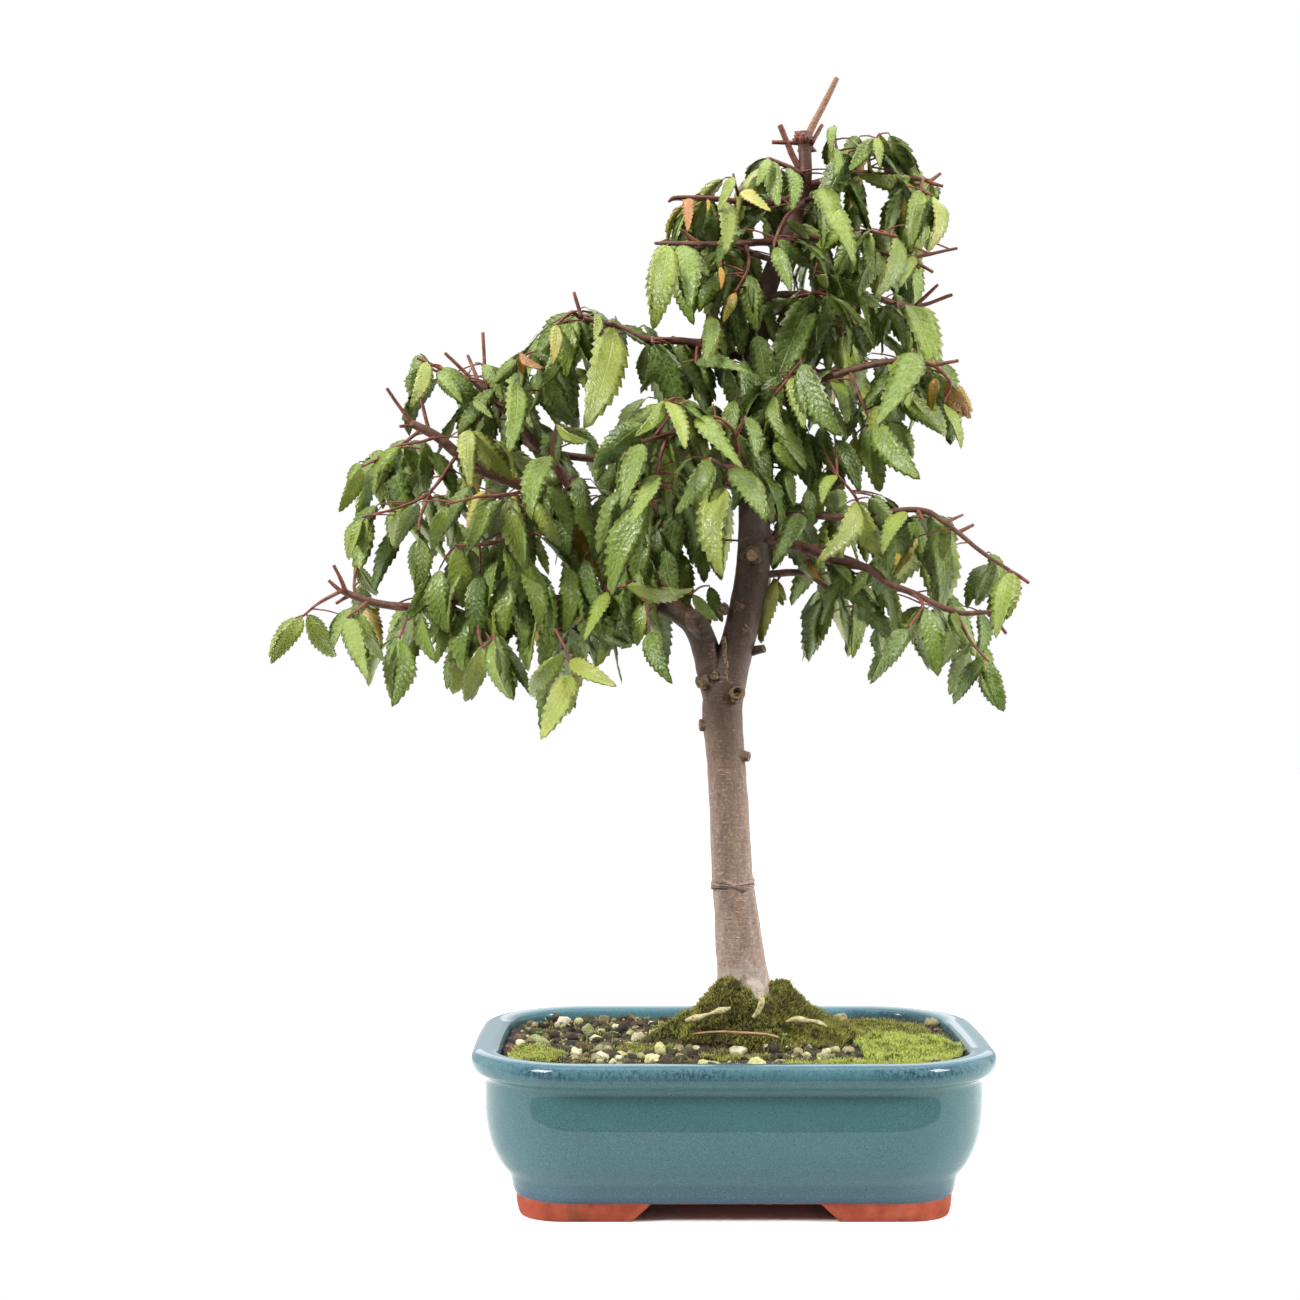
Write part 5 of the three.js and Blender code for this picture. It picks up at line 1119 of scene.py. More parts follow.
# Leafy boughs. A leaf is root x and z, tip x and z, the turn of its face in degrees and its tone,
# from 0, deep green, over 0.7, yellow-green, to 1, brown
boughs = [
    {"name": "low_left", "thick": [2.8, 1.3],
     "line": [[-28, 0, 229.5], [-52, 0, 230.7], [-75, -6, 232.3], [-99, -12, 231], [-110, -14, 232],
      [-127, -18, 229.5], [-143, -22, 231.7], [-154, -25, 236]],
     "twigs": [[[-154, -25, 236], [-163, -28, 231], [-169, -30, 226]], [[-143, -22, 232], [-147, -27, 229],
      [-152, -30, 225]], [[-148, -24, 233], [-149, -20, 238], [-148, -18, 246]], [[-127, -18, 229],
      [-129, -22, 223], [-131, -24, 217]], [[-99, -12, 231], [-100, -22, 222], [-98, -26, 214],
      [-93, -28, 218]], [[-75, -6, 232], [-70, -16, 222], [-65, -22, 212], [-62, -24, 201]], [[-52, 0, 231],
      [-49, -14, 236], [-41, -18, 238]], [[-58, -2, 231], [-59, -14, 225], [-60, -20, 223]], [[-36, 0, 230],
      [-34, -14, 233], [-32, -22, 220]], [[-34, -14, 233], [-24, -15, 235], [-15, -16, 235]]],
     "stubs": [[[-153, -25, 235], [-159, -26, 240]], [[-151, -24, 234], [-156, -22, 231]],
      [[-152, -25, 235], [-157, -28, 246]]],
     "leaves": [[-170, 225, -182, 207, 30, 0.55], [-168, 227, -156, 210, 20, 0.5],
      [-152, 225, -143, 200, 25, 0.4], [-147, 228, -137, 208, 20, 0.35], [-131, 217, -134, 190, 68, 0.3],
      [-148, 246, -140, 234, 30, 0.3], [-99, 231, -110, 195, 30, 0.6], [-99, 215, -105, 192, 45, 0.65],
      [-94, 218, -87, 193, 62, 0.3], [-66, 212, -79, 194, 30, 0.5], [-63, 203, -75, 177, 15, 0.66],
      [-62, 209, -45, 198, 20, 0.68], [-60, 201, -64, 187, 40, 0.4], [-58, 223, -39, 214, 10, 0.1],
      [-49, 237, -58, 216, 45, 0.45], [-42, 239, -15, 237, 55, 0.6], [-35, 233, -37, 214, 40, 0.4],
      [-32, 217, -23, 199, 0, 0.15], [-15, 235, -5, 224, 35, 0.4], [-122, 230, -113, 219, 30, 0.2],
      [-110, 231, -121, 216, 40, 0.35]]},
    {"name": "upper_left", "thick": [3.1, 1.7],
     "line": [[-19, 0, 226], [-36, 5, 248], [-56, 9, 266], [-79, 6, 276], [-101, 2, 285], [-116, 0, 296.7],
      [-126, 0, 302]],
     "twigs": [[[-122, 0, 300], [-134, -8, 291], [-146, -12, 285]], [[-116, 0, 297], [-122, -10, 295],
      [-128, -14, 294]], [[-108, 1, 290], [-119, -12, 275], [-131, -14, 269], [-146, -16, 265]],
      [[-119, -12, 275], [-123, -16, 264], [-123, -18, 257]], [[-101, 2, 285], [-102, -12, 294],
      [-103, -16, 300]], [[-79, 6, 276], [-88, -24, 274], [-100, -30, 273], [-113, -32, 270]],
      [[-72, 7, 273], [-84, -12, 264], [-90, -20, 256], [-99, -22, 254], [-109, -22, 254]], [[-58, 8, 267],
      [-67, -12, 280], [-71, -18, 290], [-69, -20, 302]]],
     "stubs": [[[-125, 0, 301], [-136, -3, 316]], [[-119, 0, 298], [-123, 2, 315]], [[-124, 0, 301],
      [-131, -4, 301]]],
     "leaves": [[-146, 285, -155, 267, 40, 0.5], [-129, 294, -124, 272, 30, 0.35],
      [-120, 293, -121, 274, 45, 0.3], [-147, 265, -151, 248, 55, 0.45], [-144, 266, -145, 250, 60, 0.5],
      [-123, 257, -125, 235, 35, 0.2], [-104, 300, -103, 276, 30, 0.68], [-100, 301, -86, 280, 35, 0.62],
      [-95, 273, -104, 252, 30, 0.3], [-87, 273, -81, 245, 25, 0.58], [-89, 252, -79, 220, 40, 0.4],
      [-109, 255, -106, 229, 30, 0.45], [-91, 258, -100, 229, 35, 0.3], [-71, 290, -79, 264, 30, 0.3],
      [-69, 305, -55, 295, 60, 0.55], [-136, 290, -139, 271, 35, 0.6], [-128, 270, -134, 254, 45, 0.5],
      [-112, 270, -118, 252, 30, 0.3]]},
    {"name": "upper_left_fork", "thick": [2.2, 1.3],
     "line": [[-56, 9, 266], [-64, 14, 279], [-75, 14, 291.6], [-89, 12, 307], [-101, 12, 318]],
     "twigs": [[[-101, 12, 318], [-109, 0, 322], [-117, -4, 323], [-120, -6, 327]], [[-89, 12, 307],
      [-88, -4, 313], [-85, -10, 319]], [[-95, 12, 313], [-97, 0, 321], [-98, -2, 326]], [[-93, 12, 311],
      [-99, -6, 311], [-102, -10, 311]]],
     "stubs": [[[-100, 12, 317], [-113, 8, 330]], [[-99, 12, 316], [-104, 16, 329]], [[-97, 12, 315],
      [-98, 14, 338]], [[-108, 1, 321], [-124, -2, 328]]],
     "leaves": [[-120, 328, -127, 308, 20, 0.7], [-116, 322, -106, 310, 25, 0.3],
      [-98, 327, -90, 311, 20, 0.25], [-84, 319, -88, 290, 30, 0.35], [-102, 311, -94, 304, 30, 0.35],
      [-88, 314, -78, 300, 35, 0.2]]},
    {"name": "shoulder", "thick": [1.9, 0.8],
     "line": [[8, 0, 318], [-12, -4, 333], [-33, -8, 335.5], [-45, -10, 340.6], [-60, -12, 344]],
     "twigs": [[[-60, -12, 344], [-63, -16, 346], [-69, -18, 341]], [[-45, -10, 341], [-47, -18, 342]],
      [[-31, -8, 336], [-31, -18, 334]], [[-52, -11, 342], [-53, -14, 346]], [[-58, -12, 343],
      [-67, -16, 333], [-73, -18, 324], [-84, -20, 330]], [[-12, -4, 333], [-10, -12, 339], [-8, -14, 345]],
      [[-13, -4, 333], [-14, -14, 326]]],
     "stubs": [[[-59, -12, 344], [-62, -12, 354]]],
     "leaves": [[-61, 347, -65, 320, 30, 0.35], [-70, 339, -71, 325, 40, 0.75],
      [-46, 341, -58, 300, 40, 0.62], [-53, 346, -54, 335, 40, 0.6], [-31, 335, -20, 300, 0, 0.08],
      [-83, 331, -74, 324, 40, 0.97], [-85, 329, -82, 321, 40, 0.88], [-73, 323, -60, 300, 10, 0.1],
      [-8, 345, -10, 326, 35, 0.2], [-14, 326, 7, 322, 25, 0.15], [-22, 334, -34, 316, 30, 0.25],
      [-66, 334, -76, 316, 30, 0.3]]},
    {"name": "front_left", "thick": [1.8, 0.8],
     "line": [[9.2, 0, 291], [0, -12, 300], [-14, -22, 302], [-25, -29, 298], [-35, -34, 295]],
     "twigs": [[[-25, -29, 298], [-29, -34, 284], [-31, -36, 272]], [[-30, -31, 297], [-24, -36, 306],
      [-26, -38, 312]]],
     "stubs": [],
     "leaves": [[-36, 295, -43, 268, 30, 0.25], [-32, 271, -47, 234, 20, 0.3],
      [-26, 311, -38, 297, 25, 0.5], [-25, 297, -22, 272, 40, 0.55], [-26, 311, -18, 292, 40, 0.6],
      [-30, 282, -40, 262, 50, 0.4]]},
    {"name": "front_low", "thick": [1.7, 0.8],
     "line": [[9.3, 0, 279], [6, -14, 285], [0, -28, 284], [-8, -38, 288]],
     "twigs": [[[3, -20, 285], [2, -26, 297], [-4, -30, 304], [-13, -32, 305]], [[2, -26, 297],
      [6, -29, 305]], [[0, -28, 284], [-3, -33, 278]]],
     "stubs": [],
     "leaves": [[-11, 288, -22, 266, 35, 0.3], [-2, 284, 14, 263, 30, 0.25], [-3, 278, -3, 241, 25, 0.6],
      [-14, 304, 5, 284, 25, 0.3], [6, 305, 10, 288, 30, 0.12], [-6, 288, -14, 262, 45, 0.2]]},
    {"name": "low_right", "thick": [2.3, 0.9],
     "line": [[8.6, 0, 255], [27, -6, 253.6], [40, -9, 248], [54, -12, 245], [62, -14, 238.8],
      [72, -15, 235], [89, -17, 227.5], [104, -18, 227.5]],
     "twigs": [[[27, -6, 253], [31, -12, 249]], [[72, -15, 235], [76, -24, 230], [70, -30, 221]],
      [[89, -17, 227.5], [95, -22, 216], [102, -24, 208]], [[16, -4, 256], [22, -10, 262], [27, -12, 267]]],
     "stubs": [[[103, -18, 227], [109, -18, 219]]],
     "leaves": [[27, 267, 16, 245, 30, 0], [77, 230, 64, 213, 30, 0.2], [78, 230, 82, 202, 45, 0.3],
      [70, 221, 55, 199, 25, 0.15], [100, 209, 88, 191, 35, 0.1], [103, 207, 108, 188, 35, 0.12],
      [95, 216, 87, 209, 50, 0.3], [88, 228, 92, 216, 40, 0.25], [54, 244, 46, 232, 35, 0.3],
      [40, 248, 48, 238, 40, 0.3]]},
    {"name": "low_right_fork", "thick": [1.6, 0.8],
     "line": [[8.6, 0, 242], [28.6, 10, 243], [36, 16, 238.8], [41, 20, 235], [51, 24, 232], [57, 27, 226],
      [64, 30, 223]],
     "twigs": [[[20, 6, 242.6], [18.5, -2, 240]], [[28, 10, 243], [31, 2, 248]], [[38, 17, 238],
      [43, 6, 234]]],
     "stubs": [],
     "leaves": [[41, 235, 30, 209, 30, 0.45], [48, 231, 48, 209, 60, 0.4], [16, 239, 12, 215, 45, 0.75],
      [19, 240, 22, 232, 55, 0.7], [31, 249, 36, 240, 50, 0.9], [58, 226, 66, 214, 35, 0.2]]},
    {"name": "mid_right", "thick": [1.6, 0.7],
     "line": [[9.4, 0, 262], [24, -4, 266], [45, -12, 265], [73.6, -18, 268], [85, -21, 262.7],
      [99.7, -25, 251], [111, -28, 243.7]],
     "twigs": [[[50, -13, 265], [50, -22, 272], [42, -26, 282]], [[74, -18, 268], [76, -26, 264]],
      [[85, -21, 263], [92, -18, 266]]],
     "stubs": [[[110, -28, 244], [118, -28, 239]], [[90, -22, 259], [96, -20, 262]]],
     "leaves": [[41, 282, 36, 270, 40, 0.45], [48, 271, 34, 247, 30, 0.62], [52, 272, 61, 249, 30, 0.6],
      [75, 264, 58, 234, 35, 0.2], [78, 264, 82, 228, 30, 0.3], [105, 249, 97, 230, 35, 0.25],
      [112, 244, 105, 217, 40, 0.4], [70, 267, 60, 250, 35, 0.5], [86, 263, 84, 248, 40, 0.4]]},
    {"name": "upper_right", "thick": [2.1, 0.8],
     "line": [[8.8, 0, 304], [27, -5, 315], [47, -10, 323], [67, -15, 327], [81, -20, 325]],
     "twigs": [[[27, -5, 315], [23, -16, 320], [28, -20, 327]], [[47, -10, 323], [52, -16, 311],
      [56, -18, 302]], [[67, -15, 327], [73, -18, 331]], [[81, -20, 325], [87, -20, 318], [84, -21, 310]],
      [[72, -17, 326], [71, -18, 312]], [[23, -16, 320], [17, -18, 313]]],
     "stubs": [[[80, -20, 325], [90, -20, 327]]],
     "leaves": [[28, 328, 44, 297, 35, 0.15], [23, 321, 29, 300, 35, 0.5], [17, 312, 23, 295, 45, 0.3],
      [72, 331, 57, 301, 30, 0.2], [57, 303, 75, 280, 35, 0.35], [57, 299, 59, 275, 60, 0.3],
      [52, 300, 56, 282, 62, 0.3], [86, 318, 95, 304, 68, 0.93], [84, 309, 91, 292, 68, 0.5],
      [70, 312, 85, 297, 45, 0.5], [40, 320, 46, 302, 35, 0.25], [62, 326, 70, 308, 35, 0.5]]},
    {"name": "shoulder_right", "thick": [1.8, 0.7],
     "line": [[13.2, 0, 351], [20, 2, 353], [31, 3, 353], [51, 8, 353], [72, 14, 348.5], [87.5, 15, 353]],
     "twigs": [[[31, 3, 353], [33, -20, 354]], [[47, 7, 353], [50, -2, 352], [44, -6, 338]], [[66, 12, 350],
      [66, 0, 348]]],
     "stubs": [[[73, 14, 348.5], [82, 12, 357]]],
     "leaves": [[33, 353, 15, 312, 25, 0.15], [50, 352, 42, 337, 35, 0.4], [44, 338, 46, 307, 66, 0.5],
      [63, 348, 51, 328, 35, 0.25], [69, 347, 82, 320, 40, 0.4], [40, 352, 34, 334, 35, 0.2]]},
    {"name": "crown_right_low", "thick": [1.6, 0.6],
     "line": [[22.6, 0, 376.6], [30, -4, 376], [47, -8, 372.6], [69, -14, 368], [89.5, -16, 371.4]],
     "twigs": [[[47, -8, 373], [54, -16, 378], [66, -18, 376]], [[37, -5, 375], [33, -16, 361]]],
     "stubs": [[[70, -14, 368], [80, -13, 362]]],
     "leaves": [[54, 378, 57, 361, 35, 0.35], [66, 376, 57, 352, 30, 0.25], [73, 368, 67, 356, 40, 0.5],
      [34, 361, 59, 349, 60, 0.2], [60, 370, 50, 352, 35, 0.3]]},
    {"name": "crown_right", "thick": [1.6, 0.8],
     "line": [[28.9, 0, 396], [36, 0, 398], [45.6, 0, 401], [65.3, 1, 400], [79.6, 2, 398]],
     "twigs": [[[76, 2, 399], [76, -6, 395], [80, -9, 392]], [[55, 0, 401], [55, -6, 410], [59, -8, 417]],
      [[47, 0, 401], [42, -8, 411], [41, -8, 420]]],
     "stubs": [[[79, 2, 398], [83, 3, 401]], [[78, 2, 398], [84, 1, 396]]],
     "leaves": [[73, 399, 66, 376, 35, 0.78], [79, 398, 75, 371, 45, 0.45], [81, 393, 78, 370, 35, 0.68],
      [75, 394, 71, 371, 35, 0.4], [52, 418, 47, 402, 35, 0.25], [57, 416, 59, 403, 30, 0.5],
      [61, 416, 65, 406, 45, 0.5], [72, 402, 50, 401, 60, 0.35], [37, 411, 41, 400, 40, 0.3],
      [41, 420, 40, 409, 30, 0.3]]},
    {"name": "crown_top_left", "thick": [1.3, 0.7],
     "line": [[29.2, 0, 400], [22, -10, 404], [15, -14, 407]],
     "twigs": [],
     "stubs": [],
     "leaves": [[16, 406, 19, 388, 30, 0.3], [23, 405, 24, 386, 30, 0.25], [15, 408, 10, 396, 35, 0.35]]},
    {"name": "crown_front", "thick": [1.3, 0.7],
     "line": [[26.4, 0, 388], [32, -10, 391], [38, -16, 390]],
     "twigs": [[[30, -7, 390], [22, -14, 384], [18, -18, 376], [17, -20, 372]]],
     "stubs": [],
     "leaves": [[35, 389, 36, 368, 30, 0.3], [39, 389, 49, 364, 25, 0.4], [38, 393, 44, 386, 30, 0.95],
      [19, 384, 31, 375, 30, 0.3], [21, 374, 33, 363, 35, 0.15], [17, 372, 24, 354, 25, 0.25]]},
    {"name": "crown_left", "thick": [1.4, 0.6],
     "line": [[27.4, 0, 392], [11.6, -3, 389], [-5.8, -6, 391], [-21, -8, 391.6], [-24.4, -8, 390]],
     "twigs": [[[4, -4, 389], [2, -8, 396], [1, -8, 401]], [[7, -4, 389], [4, -12, 394]]],
     "stubs": [[[0, -5, 390], [-6, -6, 384]]],
     "leaves": [[-17, 391, -17, 378, 35, 0.97], [-9, 392, -9, 386, 50, 0.85], [1, 400, -5, 386, 40, 0.5],
      [4, 394, 16, 386, 25, 0.78], [4, 388, 1, 373, 40, 0.55], [-4, 386, -2, 369, 40, 0.6]]},
    {"name": "crown_left_low", "thick": [1.6, 0.6],
     "line": [[22, 0, 374.6], [5.6, -8, 373.4], [-7.8, -14, 373], [-25, -20, 373.4], [-30, -22, 373.4]],
     "twigs": [[[6, -8, 373], [7, -16, 364], [2, -18, 354]], [[-2, -11, 373], [-4, -16, 364]]],
     "stubs": [[[-12, -15, 373], [-20, -16, 379]]],
     "leaves": [[-25, 370, -31, 339, 30, 0.45], [-19, 371, -16, 347, 25, 0.3], [-5, 370, -17, 347, 30, 0.3],
      [6, 362, 11, 339, 50, 0.2], [-4, 364, -4, 355, 40, 0.9], [2, 353, -3, 342, 30, 0.8]]},
]

# Back boughs: the front bough each is like, its start at the trunk, how many points it skips and its depth
backKeys = ("name", "like", "lead", "skip", "depth")
backBoughs = [dict(zip(backKeys, row)) for row in (
    ("back_low_left", "low_left", [[-23, 0, 228], [-36, 22, 233]], 2, 66),
    ("back_upper_left", "upper_left", [[-11, 0, 217], [-24, 22, 238]], 2, 84),
    ("back_fork_left", "upper_left_fork", [[9.3, 0, 274], [-20, 30, 284]], 2, 62),
    ("back_shoulder", "shoulder", [[8.6, 0, 326], [-10, 18, 334]], 2, 56),
    ("back_middle", "front_left", [[9.2, 0, 296], [4, 22, 304]], 2, 66),
    ("back_low", "front_low", [[9.3, 0, 286], [7, 18, 287]], 2, 52),
    ("back_low_right", "low_right", [[9, 0, 258], [24, 22, 256]], 3, 74),
    ("back_mid_right", "mid_right", [[9.4, 0, 268], [24, 16, 270]], 2, 62),
    ("back_upper_right", "upper_right", [[8.6, 0, 312], [24, 18, 320]], 3, 64),
    ("back_shoulder_right", "shoulder_right", [[11, 0, 340], [22, 20, 348]], 3, 56),
    ("back_crown_right", "crown_right_low", [[20, 0, 370], [32, 14, 374]], 2, 46),
    ("back_crown_top", "crown_right", [[28.2, 0, 393], [38, 12, 398]], 3, 34),
    ("back_crown_left", "crown_left", [[25.4, 0, 385], [10, 14, 388]], 2, 42),
    ("back_crown_low", "crown_left_low", [[19, 0, 366], [6, 14, 370]], 2, 48),
)]

# A leaf, in shares of its length; fold and wave in shares of its half width; thickness and narrowest in mm
leafShape = {"width": 0.375, "arch": 0.07, "fold": 0.16, "wave": 0.1, "curl": 0.16, "sway": 0.16,
             "twist": 1.1, "lean": 0.3, "thick": 0.3, "narrowest": 0.28, "stalk": 0.05, "base": 0.5,
             "point": 0.84, "notch": 0.85, "tooth": 1.04, "toothLean": 0.022,
             # How far leaves lean to where their bough faces, the share of the listed turn, and their widths
             "forth": 0.12, "turnShare": 0.6, "size": 0.98, "sizeSpread": 0.16}
# Teeth a side and columns across, for the leaves that are seen close and for those that fill in behind
fineBlade = {"teeth": 9, "across": (-1, -0.52, 0, 0.52, 1)}
plainBlade = {"teeth": 8, "across": (-1, 0, 1)}
leanTries = [0, 0.2, -0.2, 0.4, -0.4, 0.6, -0.6]


def nearestOnWood(lines, x, z):
    # The place on a bough's wood that lies nearest to a leaf's root, seen from the front
    best = None
    for line in lines:
        for a, b in zip(np.asarray(line[:-1], float), np.asarray(line[1:], float)):
            span = b - a
            share = ((x - a[0]) * span[0] + (z - a[2]) * span[2]) / (span[0] ** 2 + span[2] ** 2)
            place = a + span * min(max(share, 0.02), 0.98)
            away = math.hypot(place[0] - x, place[2] - z)
            if best is None or away < best[0]:
                best = (away, place)
    return best[1]


def deepened(back, index):
    # A back bough's wood and leaves, worked out from the bough in front of it
    model = next(b for b in boughs if b["name"] == back["like"])
    last = len(model["line"]) - 1

    def shareAt(x, z):
        # How far along its bough a place is, from 0 to 1
        away = [math.hypot(p[0] - x, p[2] - z) for p in model["line"]]
        return away.index(min(away)) / last

    def deeper(p):
        # A point moved back by more the further out it is, with its own depth mirrored
        return [p[0], back["depth"] * (0.35 + 0.65 * shareAt(p[0], p[2])) - p[1] * 0.6, p[2]]

    def kept(x, z):
        # Whether a place is past the start that the back bough leaves out
        return shareAt(x, z) * last >= back["skip"]

    wood = [back["lead"] + [deeper(p) for p in model["line"][back["skip"]:]]]
    for twig in model["twigs"]:
        if kept(twig[0][0], twig[0][2]):
            foot = nearestOnWood(wood, twig[0][0], twig[0][2])
            wood.append([list(foot)] + [[p[0], foot[1] - (p[1] - twig[0][1]) * 0.6,
                                         p[2]] for p in twig[1:]])
    leaves = [leaf for leaf in model["leaves"] if kept(leaf[0], leaf[1])]
    made = []
    for i, (x, z, tipX, tipZ, turn, tone) in enumerate(leaves):
        made.append([x, z, tipX + 2 * (draw(index, i, 21) - 0.5), tipZ + 3 * draw(index, i, 22),
                     turn * 0.6 + 20 * draw(index, i, 23), tone])
    return {"name": back["name"], "thick": [model["thick"][0] * 0.8, model["thick"][1]], "line": wood[0],
            "twigs": wood[1:], "stubs": [], "leaves": made, "facing": 1}


def bladeGrid(teeth):
    # Shares along a blade, its half width there and how far its edge leans forward: a pointed oval with teeth
    k = np.arange(teeth)
    body = np.stack([(k + 0.2) / (teeth + 0.7), (k + 0.86) / (teeth + 0.7)], -1).ravel()
    stalk = leafShape["stalk"]
    along = np.concatenate([[0, stalk], stalk + (1 - stalk) * body, [1]])
    b = np.clip((along - stalk) / (1 - stalk), 0, 1)
    base, point = leafShape["base"], leafShape["point"]
    peak = base / (base + point)
    half = b ** base * (1 - b) ** point / (peak ** base * (1 - peak) ** point)
    half[2:-1] *= np.tile([leafShape["notch"], leafShape["tooth"]], teeth)
    forward = np.zeros_like(along)
    forward[3:-1:2] = leafShape["toothLean"]
    return along, half, forward


def leafBlades(leaves, kind):
    # All blades of a bough at once: a toothed grid on each leaf, folded, arched and waved, and its underside
    along, half, forward = bladeGrid(kind["teeth"])
    across = np.array(kind["across"], float)
    rows, cols = len(along), len(across)
    roots, seeds = leaves["roots"], leaves["seeds"]
    axis = leaves["tips"] - roots
    length = np.linalg.norm(axis, axis=1)
    axis = unit(axis)
    face = unit(leaves["away"] - axis * np.sum(leaves["away"] * axis, 1, keepdims=True))
    turn = np.radians(leaves["turns"])[:, None]
    face = face * np.cos(turn) + np.cross(axis, face) * np.sin(turn)
    side = np.cross(axis, face)
    n = len(roots)
    u = along[None, :, None]
    v = across[None, None, :]
    wide = length * leafShape["width"] / 2 * leaves["swell"]
    h = np.maximum(half[None, :, None] * wide[:, None, None], leafShape["narrowest"] * (1 - 0.75 * u))
    chance = [draw(seeds, k, 71)[:, None, None] for k in range(6)]
    L = length[:, None, None]
    arch = leafShape["arch"] * (0.5 + 1.6 * chance[0]) * L * np.sin(math.pi * u ** 0.85)
    fold = leafShape["fold"] * (0.3 + 2.2 * chance[1]) * np.abs(v) * h
    wave = leafShape["wave"] * h * v ** 2 * np.sin(2 * math.pi * (2.2 * u + chance[2]) + (v > 0) * 2.5)
    curl = (chance[3] - 0.35) * leafShape["curl"] * L * u ** 3 * (1 - u) * 4
    lift = arch + fold + wave + curl
    sway = (chance[4] - 0.5) * leafShape["sway"] * L * np.sin(math.pi * u)
    twist = (chance[5] - 0.5) * leafShape["twist"] * u
    forth = u * L + forward[None, :, None] * L * (np.abs(v) == 1)
    place = (roots[:, None, None] + axis[:, None, None] * forth[..., None]
             + side[:, None, None] * (v * h * np.cos(twist) + sway)[..., None]
             + face[:, None, None] * (lift + v * h * np.sin(twist))[..., None])
    thick = leafShape["thick"] * (1 - 0.45 * np.abs(across[1:-1]))[None, None]
    thick = thick * np.minimum(1, 0.4 + 3 * (1 - u))
    under = place[:, :, 1:-1] - face[:, None, None] * thick[..., None]
    each = 2 * cols - 2
    verts = np.concatenate([place, under], 2)
    top = np.arange(rows)[:, None] * each + np.arange(cols)[None]
    low = np.concatenate([top[:, :1], top[:, :1] + cols + np.arange(cols - 2)[None], top[:, -1:]], 1)
    upper = np.stack([top[:-1, :-1], top[:-1, 1:], top[1:, 1:], top[1:, :-1]], -1).reshape(-1, 4)
    lower = np.stack([low[:-1, :-1], low[1:, :-1], low[1:, 1:], low[:-1, 1:]], -1).reshape(-1, 4)
    ends = []
    for row, order in ((0, 1), (rows - 1, -1)):
        t, l = top[row], low[row]
        ends += [(t[j], t[j + 1], l[j + 1], l[j])[::-order] for j in range(1, cols - 2)]
        ends += [(t[0], t[1], l[1])[::-order], (t[-2], t[-1], l[-2])[::-order]]
    quads = np.concatenate([upper, lower, np.array([f for f in ends if len(f) == 4], int).reshape(-1, 4)])
    tris = np.array([f for f in ends if len(f) == 3])
    offset = (np.arange(n) * rows * each)[:, None, None]
    uAll = np.broadcast_to(along[:, None], (rows, each))
    vAll = np.broadcast_to(np.concatenate([across, across[1:-1]])[None], (rows, each))
    uv = np.tile(np.stack([uAll, vAll * 0.5 + 0.5], -1).reshape(-1, 2), (n, 1))
    tint = np.zeros((n, rows, each, 4))
    tint[..., 0] = leaves["tones"][:, None, None]
    tint[..., 1] = draw(seeds, 9, 72)[:, None, None]
    tint[..., cols:, 2] = 1.0
    tint[..., 3] = 1.0
    return {"verts": verts.reshape(-1, 3), "quads": (quads[None] + offset).reshape(-1, 4),
            "tris": (tris[None] + offset).reshape(-1, 3), "tint": tint.reshape(-1, 4), "uv": uv}


